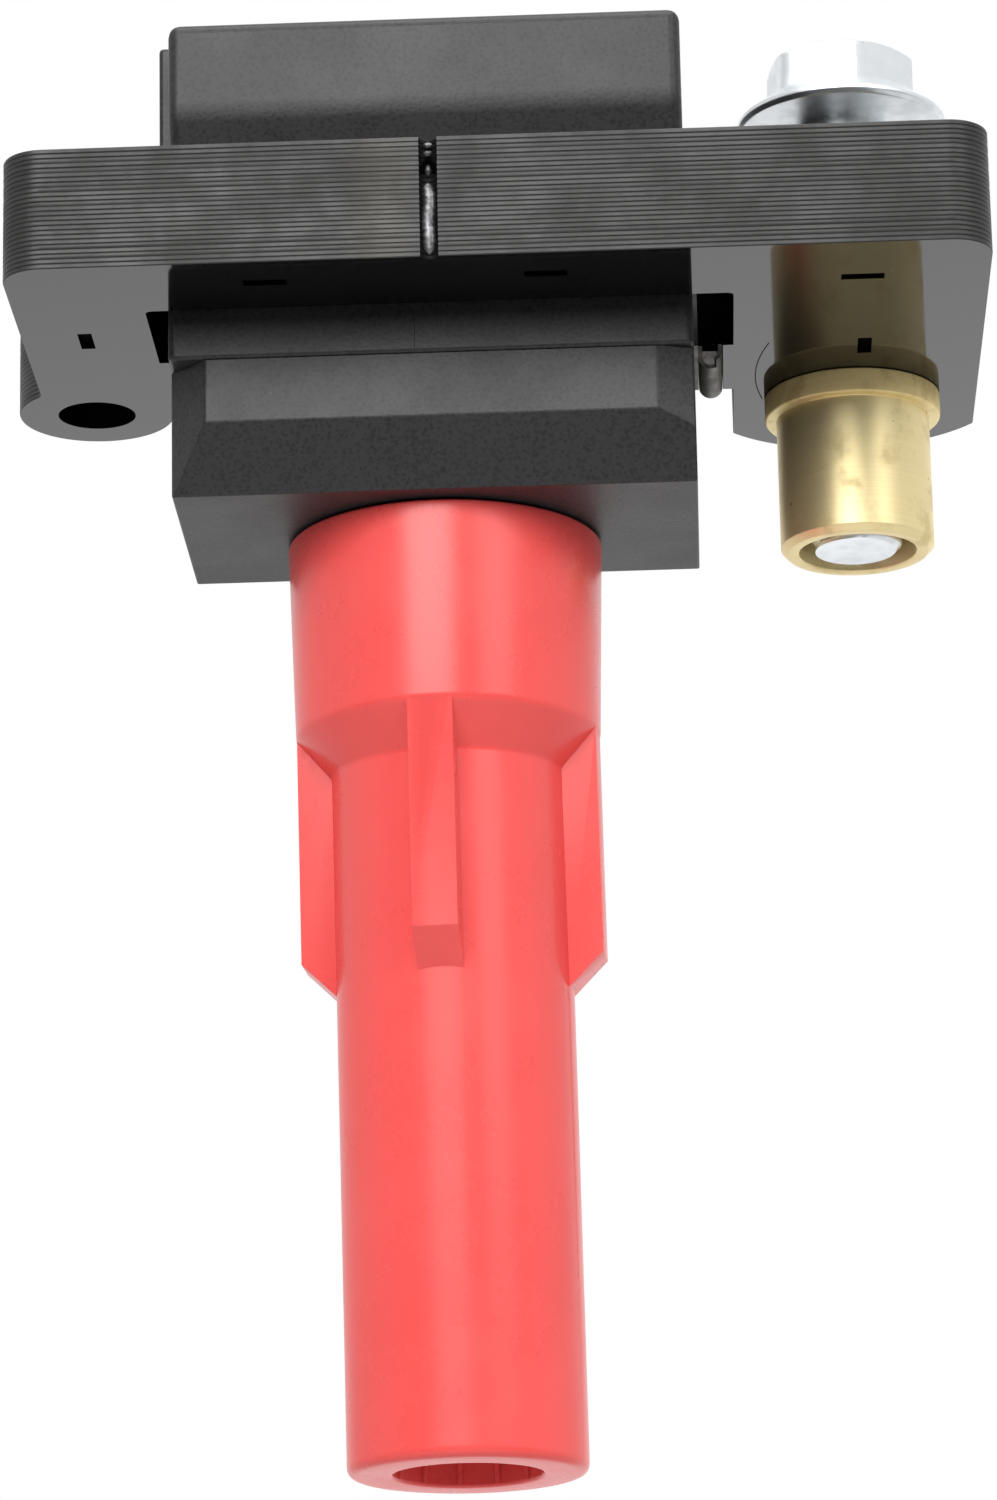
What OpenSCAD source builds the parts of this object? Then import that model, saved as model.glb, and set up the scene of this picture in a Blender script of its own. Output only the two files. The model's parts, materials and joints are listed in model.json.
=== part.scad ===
// Coil-on-plug ignition coil: a moulded case clamped in a laminated core, with a silicone
// plug boot below it and a captive fixing bolt in a brass spacer beside it.
// Origin at the centre of the boot's mouth, +Z up the plug axis, -Y towards the core's front leg.

/* [Boot] */
// Length of the boot from its mouth to its top rim
boot_len = 80.3; // [76:0.5:90]
// Radius of the boot's long tube
boot_tube_r = 10; // [9.4:0.1:11]
// Radius of the wide collar at its top
boot_collar_r = 13.5; // [13.2:0.1:14.5]
// Length of the wide collar
boot_collar_len = 17.2; // [15:0.5:19]
// Radius reached by the four fins
boot_fin_r = 12.8; // [12.2:0.1:13.4]
// Length of the fins below the collar
boot_fin_len = 19.6; // [14:0.2:22]
// Thickness of a fin
boot_fin_t = 3.8; // [3:0.1:5]
// Turn of the fins about the plug axis, degrees
boot_fin_turn = -4.5; // [-20:0.5:20]
// Radius of the flared mouth that goes over the plug's shoulder
boot_mouth_r = 6.2; // [5.8:0.1:7]
// Radius of the bore that grips the plug's insulator
insulator_bore_r = 5.3; // [5:0.05:5.6]

/* [Case] */
// Width of the case to the right of the plug axis
case_right = 21.9; // [21:0.1:22.1]
// Width of the case to the left of the plug axis
case_left = 22.2; // [21.5:0.1:22.4]
// Reach of the case in front of the plug axis
case_front = 18.3; // [18:0.1:18.6]
// Reach of the case behind the plug axis
case_back = 16.1; // [15.8:0.1:18]
// Height of the lower case
case_seam_h = 11.1; // [10.5:0.1:12]
// Height of the whole case
case_h = 40.5; // [40:0.1:44]
// Wall thickness of the case
case_wall = 1.5; // [1.2:0.1:1.6]
// Radius of the tower that carries the boot
tower_r = 8; // [7.5:0.1:8.5]
// Length of the tower
tower_len = 24; // [20:0.5:26]

/* [Laminated core] */
// Number of laminations in the stack
lamination_count = 25; // [20:1:28]
// Pitch of the laminations in the stack
lamination_pitch = 0.424; // [0.4:0.002:0.43]
// Height of the core's underside above the case's underside
core_lift = 15.3; // [15:0.1:16]
// Depth of the front leg
core_leg = 10.5; // [9:0.1:10.6]
// Radius of the hole in the left ear
ear_hole_r = 3.35; // [2.8:0.05:3.5]
// Radius of the left ear's round end
ear_boss_r = 6.8; // [6.4:0.1:6.8]

/* [Fixing] */
// Radius of the brass spacer's tube
spacer_r = 6.7; // [6.4:0.1:7]
// Radius of the spacer's collar
spacer_collar_r = 7.7; // [7.4:0.1:8.2]
// Radius of the spacer's bore
spacer_bore_r = 5.1; // [4.9:0.05:5.3]
// Distance of the spacer's foot below the core
spacer_drop = 14.5; // [12:0.1:16]
// Radius of the bolt's shank
bolt_r = 4; // [3.8:0.05:4.2]
// Length of the bolt under its flange
bolt_len = 39.5; // [38:0.5:41]
// Distance across the flats of the bolt's head
bolt_hex_af = 12; // [11:0.5:13]
// Height of the raised bolt's flange above the core
bolt_rise = 14.6; // [4:0.1:15]

/* [Connector] */
// Inside width of the connector socket
socket_w = 20; // [18:0.5:22]
// Inside height of the connector socket
socket_h = 10.4; // [10:0.2:10.6]
// Length of the connector socket behind the case
socket_len = 18; // [14:0.5:20]

/* [Hidden] */
$fn = 96;
eps = 0.01;

// Heights on the plug axis
case_z = boot_len + 0.2;             // underside of the case
seam_z = case_z + case_seam_h;
case_top_z = case_z + case_h;
core_z = case_z + core_lift;
core_t = lamination_count * lamination_pitch;
core_top_z = core_z + core_t;
foot_z = core_z - spacer_drop;

// Core outline
core_front = -29.4;
core_left = -35.15;
core_right = 46.7;
core_corner_r = 3.5;
window_left = -24;
window_right = 25.3;
ear = [-30.8, 6];                    // centre of the left ear's hole
spacer = [35.75, 7.5];               // centre of the spacer
right_ear_r = 13.4;
pole_y0 = -6.6;                      // the two poles that hold the core bar
pole_y1 = 4.4;
left_pole = -22.7;
right_pole = 24.4;
weld_r = 0.75;
weld_x = 0.4;
tab_size = [3.6, 1.2, 0.5];          // stamped interlock tabs in the core's underside
tabs = [[-13.5, -24.7, 0], [9.8, -24.7, 0], [36.1, -21.7, 0], [-29.7, -12.4, 90], [36.6, -5.4, 90]];
over = 1;                            // how far a cutting body passes the surface that it cuts
far = 40;                            // reach of a cutting body that passes right through the case

// Coil inside the case, wound about the core bar
bar_y = (pole_y0 + pole_y1) / 2;
bar_z = core_z + core_t / 2;
bar_right = 21.3;
magnet_t = 1;
bobbin_half = 19;
primary_bobbin_r = 8.7;
primary_r = 10.6;
secondary_bobbin_r = 12;
secondary_r = 14.4;
flange_r = 15;
section_count = 9;
section_pitch = (2 * bobbin_half - 1) / section_count;
secondary_gap = 0.3;                 // resin between the primary winding and the secondary bobbin

// Cavity of the case
block_front = -21.2;                 // the upper case's block, which overhangs the core
block_h = 32.4;                      // height of the overhang above the case's underside
block_foot_h = core_lift + core_t + 0.1;   // foot of the overhang's leaning lower band
block_foot_y = block_front + 2.3;
block_z = case_z + block_h;
block_floor = 0.8;                   // thickness of the overhang's floor
block_left = -21.9;
block_right = 21.5;
cavity_left = block_left + case_wall;
cavity_right = block_right - case_wall;
cavity_front = -(case_front - case_wall);
cavity_back = case_back - case_wall;
resin_z = case_top_z - 1;
floor_z = case_z + case_wall;
slope_depth = 2.9;                   // the lower case's slanted front face
slope_h = 5.5;
back_slope_depth = 8;
back_slope_h = 7;
shoulder_left = -23.1;
shoulder_front = -16.1;
neck_front = -case_front - 0.2;

// Connector
socket_x = -6;
socket_z = case_z + 33;
socket_wall = 1.5;
pin_pitch = 5.6;
pin_w = 2.3;
pin_t = 0.8;
pin_tip_y = case_back + 11.5;
pin_root_y = 9;
rib_t = 1.2;                         // guide ribs of the connector
rib_h = 1.6;
module_z = case_z + 36;
module_t = 2.4;
plate_t = 0.8;
module_low = [socket_x - 8, -4.4];
module_high = [socket_x + 8, 10];

// Tower and boot
tower_bore_r = 3.2;
tower_z = case_z - tower_len;
boot_socket_r = tower_r + 0.05;
boot_socket_z = tower_z - 1.6;
channel_r = 4.2;
mouth_depth = 6;
insulator_z = 30;
cone_h = 3.5;
collar_bottom_r = boot_collar_r - 0.5;
collar_z = boot_len - boot_collar_len;
fin_z = collar_z - boot_fin_len;
resistor_r = 2.9;
resistor_len = 16;
resistor_z = tower_z + 2;
spring_r = 2.4;
spring_wire = 0.7;
contact_z = 35.6;
contact_h = 2;
spring_turns = 9;
terminal_r = 4;                      // output terminal's disc
terminal_h = 1.6;

// Diode and its lead
diode = [6, -10, case_z + 4.6];
diode_r = 1.6;
diode_l = 8;
lead_r = 0.4;
lead_x = 3;
lead_y = 8.4;
lead_drop = 1.9;

// Fixing bolt
collar_h = 2.2;
flange_r0 = 9.3;
flange_z = core_top_z + bolt_rise;
hex_h = 3.9;
ring_z = foot_z + 16;
ring_h = 2.2;
run = 0.05;                          // running clearance of the ring, on both its faces
bolt_hex_turn = 11;                  // degrees

// Spring clip beside the magnet
clip_wall = 0.4;
clip_y = -4.6;
clip_l = 12.4;
clip_leg_l = 9;
clip_leg_h = 10.2;
clip_notch = 1.6;

module box(low, high) translate(low) cube(high - low);

// A round bar from a to b along X, centred on the coil's axis
module along_x(r, a, b) translate([a, bar_y, bar_z]) rotate([0, 90, 0]) cylinder(r = r, h = b - a);

module tab(place)
    translate([place[0], place[1], core_z]) rotate(place[2])
        translate([-tab_size.x / 2, -tab_size.y / 2, -over])
            cube([tab_size.x, tab_size.y, over + tab_size.z]);

// Core

module yoke_outline() {
    // front leg with rounded corners
    translate([core_left, core_front + core_corner_r])
        square([core_right - core_left, core_leg - core_corner_r]);
    translate([core_left + core_corner_r, core_front])
        square([core_right - core_left - 2 * core_corner_r, core_leg]);
    for (x = [core_left + core_corner_r, core_right - core_corner_r])
        translate([x, core_front + core_corner_r]) circle(core_corner_r);
    // left arm, its round ear and its pole
    arm_y = core_front + core_leg - eps;
    translate([core_left, arm_y]) square([window_left - core_left, ear.y - ear_boss_r * 0.76 - arm_y]);
    translate([ear.x, arm_y]) square([window_left - ear.x, ear.y - arm_y]);
    translate(ear) circle(ear_boss_r);
    translate([window_left - eps, pole_y0]) square([left_pole - window_left + eps, pole_y1 - pole_y0]);
    // right arm with its round back and its pole
    intersection() {
        translate([window_right, arm_y]) square([core_right - window_right, 50]);
        union() {
            translate([window_right - 5, arm_y]) square([core_right - window_right + 10, spacer.y - arm_y]);
            translate(spacer) circle(right_ear_r);
        }
    }
    translate([right_pole, pole_y0]) square([window_right - right_pole + eps, pole_y1 - pole_y0]);
}

module core_yoke() {
    color([0.2, 0.19, 0.18]) difference() {
        translate([0, 0, core_z]) linear_extrude(core_t) difference() {
            yoke_outline();
            translate(ear) circle(ear_hole_r);
            translate(spacer) circle(spacer_r);
            translate([weld_x, core_front]) circle(weld_r);
        }
        for (place = tabs) tab(place);
    }
}

module weld_bead() {
    bead_z = core_z + 0.4;
    bead_h = core_t * 0.62;
    color([0.3, 0.29, 0.28]) intersection() {
        translate([weld_x, core_front, bead_z]) cylinder(r = weld_r, h = bead_h);
        box([weld_x - weld_r, core_front + 0.15, bead_z - over],
            [weld_x + weld_r, core_front + 2, bead_z + bead_h + over]);
    }
}

module core_bar() {
    color([0.22, 0.21, 0.2]) box([left_pole, pole_y0, core_z], [bar_right, pole_y1, core_top_z]);
}

module bias_magnet() {
    color([0.45, 0.45, 0.47])
        box([bar_right, pole_y0, core_z], [bar_right + magnet_t, pole_y1, core_top_z]);
}

// Spring-steel channel wedged between the magnet and the right pole, closed at its back
module core_clip() {
    outer = (right_pole - bar_right - magnet_t) / 2;
    inner = outer - clip_wall;
    color([0.62, 0.61, 0.58]) translate([right_pole - outer, clip_y, core_z + 0.3]) {
        difference() {
            union() {
                rotate([-90, 0, 0]) cylinder(r = outer, h = clip_l);
                translate([-outer, 0, 0]) cube([2 * outer, clip_leg_l, clip_leg_h]);
            }
            translate([0, -over, 0]) rotate([-90, 0, 0]) cylinder(r = inner, h = clip_l + 2 * over);
            translate([-inner, -over, 0]) cube([2 * inner, clip_l + 2 * over, clip_leg_h + over]);
            translate([-outer - over, clip_leg_l, eps]) cube([2 * (outer + over), clip_l, clip_leg_h + over]);
            translate([-outer - over, -over, -outer - over])
                cube([outer + over + 0.2, over + clip_notch, outer + over + 1.4]);
        }
        translate([-outer, clip_leg_l - clip_wall, 0]) cube([2 * outer, clip_wall, clip_leg_h]);
    }
}

// Case

// Side profile of the lower case, with its slanted front and back faces, in the YZ plane
module lower_profile(inset = 0) {
    polygon([
        [-case_front + slope_depth + inset * 0.8, inset],
        [back_corner_y() - inset * 0.4, inset],
        [case_back - inset, back_slope_h + inset * 0.4],
        [case_back - inset, case_seam_h + eps],
        [-case_front + inset, case_seam_h + eps],
        [-case_front + inset, slope_h + inset * 0.2]
    ]);
}

function back_corner_y() = case_back - back_slope_depth;

// Plan of the case below the core: the front corners are cut back by shallow facets
module lower_plan() {
    facet = 3.1;
    polygon([
        [-case_left, case_back], [-case_left, facet - case_front], [facet - case_left, -case_front],
        [case_right - facet, -case_front], [case_right, 0.8 - case_front], [case_right, case_back]
    ]);
}

module lower_block(inset = 0)
    translate([-far, 0, case_z]) rotate([90, 0, 90]) linear_extrude(2 * far) lower_profile(inset);

module lower_case() {
    color([0.2, 0.2, 0.21]) difference() {
        union() {
            intersection() {
                lower_block();
                translate([0, 0, case_z - over]) linear_extrude(case_seam_h + over) lower_plan();
            }
            translate([0, 0, tower_z]) cylinder(r = tower_r, h = tower_len + eps);
        }
        intersection() {
            lower_block(case_wall);
            box([cavity_left, cavity_front, case_z], [cavity_right, cavity_back, seam_z + over]);
        }
        translate([0, 0, tower_z - over]) cylinder(r = tower_bore_r, h = tower_len + 2 * over + case_wall);
    }
}

module bar_slot() {
    box([-far, pole_y0, core_z], [far, pole_y1, core_top_z]);
}

module upper_case() {
    color([0.22, 0.22, 0.23]) difference() {
        union() {
            box([-case_left, neck_front, seam_z], [case_right, case_back, core_top_z + 0.1]);
            box([block_left, neck_front, core_top_z], [block_right, case_back, block_z]);
            // block overhanging the front leg, with a lower band that leans back
            translate([block_left, 0, case_z]) rotate([90, 0, 90]) linear_extrude(block_right - block_left)
                polygon([[block_front, block_h], [block_foot_y, block_foot_h], [case_back, block_foot_h],
                    [case_back, case_h], [block_front, case_h]]);
            box([shoulder_left, shoulder_front, core_top_z + 0.1], [block_left + eps, case_back, case_top_z]);
        }
        box([cavity_left, cavity_front, seam_z - over], [cavity_right, cavity_back, case_top_z + over]);
        box([cavity_left, block_front + case_wall, block_z + block_floor],
            [cavity_right, cavity_back, case_top_z + over]);
        bar_slot();
        terminal_row(eps);
    }
}

module cavity() {
    intersection() {
        lower_block(case_wall);
        box([cavity_left, cavity_front, case_z], [cavity_right, cavity_back, seam_z]);
    }
    box([cavity_left, cavity_front, seam_z], [cavity_right, cavity_back, resin_z]);
    box([cavity_left, block_front + case_wall, block_z + block_floor], [cavity_right, cavity_back, resin_z]);
}

module potting_resin() {
    color([0.1, 0.1, 0.11]) difference() {
        cavity();
        along_x(flange_r, -bobbin_half, bobbin_half);
        bar_slot();
        module_box(module_z, module_z + module_t + plate_t);
        terminal_row();
        diode_body();
        lead_body();
        translate([0, 0, case_z]) cylinder(r = terminal_r, h = case_wall + terminal_h);
    }
}

// Connector and electronics

module connector_socket() {
    w = socket_w / 2;
    h = socket_h / 2;
    y1 = case_back + socket_len;
    color([0.22, 0.22, 0.23]) difference() {
        union() {
            box([socket_x - w - socket_wall, case_back, socket_z - h - socket_wall],
                [socket_x + w + socket_wall, y1, socket_z + h + socket_wall]);
            // latch ramp and its two guide ribs
            box([socket_x - 2.5, y1 - 9, socket_z + h + socket_wall - eps],
                [socket_x + 2.5, y1 - 6, socket_z + h + socket_wall + rib_h]);
            for (s = [-1, 1])
                translate([socket_x + s * 5.5 - rib_t / 2, case_back, socket_z + h + socket_wall - eps])
                    cube([rib_t, socket_len - 2, rib_h + eps]);
        }
        box([socket_x - w, case_back + 1.6, socket_z - h], [socket_x + w, y1 + over, socket_z + h]);
        terminal_row(eps);
    }
}

module terminal_row(room = 0) {
    for (i = [-1, 0, 1]) translate([socket_x + i * pin_pitch, 0, 0]) {
        box([-pin_w / 2 - room, pin_root_y, socket_z - pin_t / 2 - room],
            [pin_w / 2 + room, pin_tip_y, socket_z + pin_t / 2 + room]);
        box([-pin_w / 2, pin_root_y, socket_z], [pin_w / 2, pin_root_y + pin_t, module_z]);
    }
}

module connector_terminals() color([0.75, 0.72, 0.6]) terminal_row();

module module_box(low, high)
    box([module_low.x, module_low.y, low], [module_high.x, module_high.y, high]);

module igniter_module() color([0.08, 0.08, 0.08]) module_box(module_z, module_z + module_t);

module heat_spreader()
    color([0.75, 0.76, 0.78]) module_box(module_z + module_t, module_z + module_t + plate_t);

// Coil

module primary_bobbin() {
    color([0.85, 0.83, 0.75]) difference() {
        along_x(primary_bobbin_r, -bobbin_half, bobbin_half);
        bar_slot();
    }
}

module primary_winding() {
    color([0.72, 0.4, 0.2]) difference() {
        along_x(primary_r, 1 - bobbin_half, bobbin_half - 1);
        along_x(primary_bobbin_r, -bobbin_half, bobbin_half);
    }
}

module secondary_bobbin() {
    color([0.88, 0.86, 0.8]) difference() {
        union() {
            along_x(secondary_bobbin_r, -bobbin_half, bobbin_half);
            for (i = [0 : section_count])
                along_x(flange_r, i * section_pitch - bobbin_half, i * section_pitch - bobbin_half + 1);
        }
        along_x(primary_r + secondary_gap, -bobbin_half - over, bobbin_half + over);
    }
}

module secondary_winding() {
    color([0.6, 0.25, 0.12]) for (i = [0 : section_count - 1]) difference() {
        along_x(secondary_r, i * section_pitch - bobbin_half + 1, (i + 1) * section_pitch - bobbin_half);
        along_x(secondary_bobbin_r, -bobbin_half, bobbin_half);
    }
}

module diode_body() translate(diode) rotate([0, 90, 0]) cylinder(r = diode_r, h = diode_l);

module high_voltage_diode() color([0.1, 0.1, 0.12]) diode_body();

// Lead from the diode to the output terminal
module lead_body() translate([diode.x - lead_x, diode.y, diode.z]) {
    rotate([0, 90, 0]) cylinder(r = lead_r, h = lead_x);
    sphere(lead_r);
    rotate([-90, 0, 0]) cylinder(r = lead_r, h = lead_y);
    translate([0, lead_y, case_wall + terminal_h - diode.z + case_z]) cylinder(r = lead_r, h = lead_drop);
}

module high_voltage_lead() color([0.8, 0.78, 0.75]) lead_body();

module output_terminal() {
    color([0.8, 0.65, 0.35]) {
        translate([0, 0, floor_z]) cylinder(r = terminal_r, h = terminal_h);
        translate([0, 0, resistor_z + resistor_len])
            cylinder(r = tower_bore_r, h = floor_z + eps - resistor_z - resistor_len);
    }
}

module suppressor_resistor() {
    color([0.75, 0.7, 0.62]) translate([0, 0, resistor_z]) {
        cylinder(r = resistor_r, h = resistor_len);
        for (z = [0, resistor_len - 2]) translate([0, 0, z]) cylinder(r = tower_bore_r, h = 2);
    }
}

// Point on the contact spring's centre line, t from 0 at the foot to 1 at the top
function spring_point(t) = let (a = 360 * spring_turns * t, top = resistor_z - spring_wire / 2,
    bottom = contact_z + contact_h + spring_wire / 2)
    [spring_r * cos(a), spring_r * sin(a), bottom + (top - bottom) * t];

module contact_spring() {
    steps = 14 * spring_turns;
    sides = 6;
    rings = [for (i = [0 : steps]) let (a = 360 * spring_turns * i / steps, c = spring_point(i / steps))
        for (j = [0 : sides - 1]) let (b = 360 * j / sides, r = spring_wire / 2)
            c + [r * cos(b) * cos(a), r * cos(b) * sin(a), r * sin(b)]];
    walls = [for (i = [0 : steps - 1], j = [0 : sides - 1]) let (k = (j + 1) % sides)
        [i * sides + j, (i + 1) * sides + j, (i + 1) * sides + k, i * sides + k]];
    first = [for (j = [0 : sides - 1]) j];
    last = [for (j = [sides - 1 : -1 : 0]) steps * sides + j];
    color([0.75, 0.75, 0.76]) polyhedron(rings, concat(walls, [first, last]));
}

module spring_contact() {
    color([0.8, 0.65, 0.35]) translate([0, 0, contact_z]) difference() {
        cylinder(r = 3.2, h = contact_h);
        translate([0, 0, -over]) cylinder(r = 2, h = contact_h / 2 + over);
    }
}

// Boot

module boot_profile() {
    chamfer = 0.9;
    polygon([
        [boot_mouth_r, 0], [boot_tube_r - chamfer, 0], [boot_tube_r, chamfer],
        [boot_tube_r, collar_z - cone_h], [collar_bottom_r, collar_z], [boot_collar_r, boot_len],
        [boot_socket_r, boot_len], [boot_socket_r, boot_socket_z], [channel_r, boot_socket_z],
        [channel_r, insulator_z], [insulator_bore_r, insulator_z], [insulator_bore_r, mouth_depth + 1],
        [boot_mouth_r, mouth_depth]
    ]);
}

module boot_fin() {
    root_r = boot_tube_r - 0.8;
    rotate([90, 0, 0]) translate([0, 0, -boot_fin_t / 2]) linear_extrude(boot_fin_t) polygon([
        [root_r, fin_z - boot_fin_r + root_r], [boot_fin_r, fin_z], [boot_fin_r, collar_z + 0.2],
        [root_r, collar_z + 0.2]
    ]);
}

module plug_boot() {
    color([0.85, 0.2, 0.2]) {
        rotate_extrude() boot_profile();
        for (i = [0 : 3]) rotate(boot_fin_turn + 90 * i) boot_fin();
    }
}

// Spacer and bolt

module spacer_sleeve() {
    chamfer = 0.5;
    color([0.8, 0.68, 0.38]) translate([spacer.x, spacer.y, 0]) rotate_extrude() polygon([
        [spacer_bore_r, foot_z], [spacer_r - chamfer, foot_z], [spacer_r, foot_z + chamfer],
        [spacer_r, core_z - collar_h], [spacer_collar_r, core_z - collar_h], [spacer_collar_r, core_z],
        [spacer_r, core_z], [spacer_r, core_top_z], [spacer_bore_r, core_top_z]
    ]);
}

module bolt_retainer() {
    color([0.15, 0.15, 0.16]) translate([spacer.x, spacer.y, ring_z]) difference() {
        cylinder(r = spacer_bore_r - run, h = ring_h);
        translate([0, 0, -over]) cylinder(r = bolt_r + run, h = ring_h + 2 * over);
    }
}

module mounting_bolt() {
    hex_r = bolt_hex_af / sqrt(3);
    rim_h = 0.7;
    head_z = rim_h + 1.9;
    top_z = head_z + hex_h;
    tip = 0.5;
    color([0.82, 0.84, 0.86]) translate([spacer.x, spacer.y, flange_z]) {
        rotate_extrude() polygon([
            [0, -bolt_len], [bolt_r - tip, -bolt_len], [bolt_r, tip - bolt_len], [bolt_r, 0],
            [flange_r0 - 0.3, 0], [flange_r0, 0.3], [flange_r0, rim_h], [hex_r * 0.98, head_z], [0, head_z]
        ]);
        intersection() {
            rotate(bolt_hex_turn - 90) cylinder(r = hex_r, h = top_z, $fn = 6);
            rotate_extrude() polygon([
                [0, rim_h], [hex_r + 0.1, rim_h], [hex_r + 0.1, top_z - 0.5], [hex_r - 0.9, top_z], [0, top_z]
            ]);
        }
    }
}

core_yoke();
weld_bead();
core_bar();
bias_magnet();
core_clip();
lower_case();
upper_case();
potting_resin();
connector_socket();
connector_terminals();
igniter_module();
heat_spreader();
primary_bobbin();
primary_winding();
secondary_bobbin();
secondary_winding();
high_voltage_diode();
high_voltage_lead();
output_terminal();
suppressor_resistor();
contact_spring();
spring_contact();
plug_boot();
spacer_sleeve();
bolt_retainer();
mounting_bolt();
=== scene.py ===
import json
import random
from math import atan2, cos, degrees, pi, radians, sin, sqrt
import bmesh
import bpy
from mathutils import Matrix, Vector, noise


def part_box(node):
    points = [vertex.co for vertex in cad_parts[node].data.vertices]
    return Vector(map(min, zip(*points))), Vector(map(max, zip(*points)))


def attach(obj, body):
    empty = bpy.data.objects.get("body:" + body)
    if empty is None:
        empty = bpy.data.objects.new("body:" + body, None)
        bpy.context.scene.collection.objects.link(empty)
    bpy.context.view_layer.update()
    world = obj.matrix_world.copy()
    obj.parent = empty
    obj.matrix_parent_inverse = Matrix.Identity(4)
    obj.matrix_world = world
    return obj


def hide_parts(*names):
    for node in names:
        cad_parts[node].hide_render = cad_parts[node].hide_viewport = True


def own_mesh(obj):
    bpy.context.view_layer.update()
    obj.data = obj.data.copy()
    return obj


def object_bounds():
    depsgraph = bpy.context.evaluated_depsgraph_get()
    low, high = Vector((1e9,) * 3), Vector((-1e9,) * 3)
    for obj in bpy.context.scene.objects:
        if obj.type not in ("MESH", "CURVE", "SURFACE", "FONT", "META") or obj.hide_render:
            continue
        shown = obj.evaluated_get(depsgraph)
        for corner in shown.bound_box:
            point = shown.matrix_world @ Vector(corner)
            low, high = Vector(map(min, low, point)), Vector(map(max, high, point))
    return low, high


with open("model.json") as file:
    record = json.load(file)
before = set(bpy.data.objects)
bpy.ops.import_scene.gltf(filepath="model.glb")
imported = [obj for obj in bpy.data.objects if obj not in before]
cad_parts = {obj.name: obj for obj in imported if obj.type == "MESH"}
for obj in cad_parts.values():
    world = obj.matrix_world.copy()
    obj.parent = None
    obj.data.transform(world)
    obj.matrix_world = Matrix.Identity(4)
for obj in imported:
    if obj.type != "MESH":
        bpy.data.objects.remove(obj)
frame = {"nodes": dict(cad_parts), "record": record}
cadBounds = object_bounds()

mm = 0.001
scene = bpy.context.scene
nodes = frame["nodes"]
chance = random.Random(7)


# Camera

cameraSet = {
    "aim": (4.38, -3.80, 61.0),     # mm
    "distance": 475.3,              # mm
    "turn": 1.99,                   # degrees to the right of the front
    "lift": -16.56,                 # degrees above the level, so this one looks up
    "roll": -1.15,
    "lens": 134.82,
}


def makeCamera(s):
    turn, lift, roll = radians(s["turn"]), radians(s["lift"]), radians(s["roll"])
    back = Vector((sin(turn) * cos(lift), -cos(turn) * cos(lift), sin(lift)))
    level = Vector((0, 0, 1)).cross(back).normalized()
    upright = back.cross(level)
    right = level * cos(roll) + upright * sin(roll)
    up = back.cross(right)
    camera = bpy.data.objects.new("camera", bpy.data.cameras.new("camera"))
    scene.collection.objects.link(camera)
    camera.data.lens = s["lens"]
    camera.data.clip_start, camera.data.clip_end = 0.05, 20
    place = Matrix((right, up, back)).transposed().to_4x4()
    place.translation = (Vector(s["aim"]) + back * s["distance"]) * mm
    camera.matrix_world = place
    scene.camera = camera


makeCamera(cameraSet)
scene.view_settings.view_transform = "Standard"


# Light, backdrop and floor

lightSet = {
    "backdrop": (1.0, 1.0, 1.0),
    "brightSky": 1.0,               # behind and above
    "dimSky": 0.10,                 # in front and below
    "glow": 1.35,                   # low behind the part
    "skySpan": (-0.9, 0.1), "sideSpan": (-0.15, 0.15), "sideLevels": (0.95, 1.12), "glowSpan": (0.55, 0.95),
    "tilt": 0.9,                    # how far the sky turns dim towards the front
    "floorHeight": -1.1,            # m
    "floorRadius": 2.4,             # m
    "boxes": [                      # name, turn, lift, distance m, width m, height m, power W
        ("softboxLeft", -10.0, 23, 1.3, 0.77, 0.82, 15.0),
        ("softboxRight", 38.8, 23, 1.3, 0.58, 0.82, 4.6),
        ("softboxTop", 5, 78, 1.2, 0.9, 0.7, 7.0),
    ],
}


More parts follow.
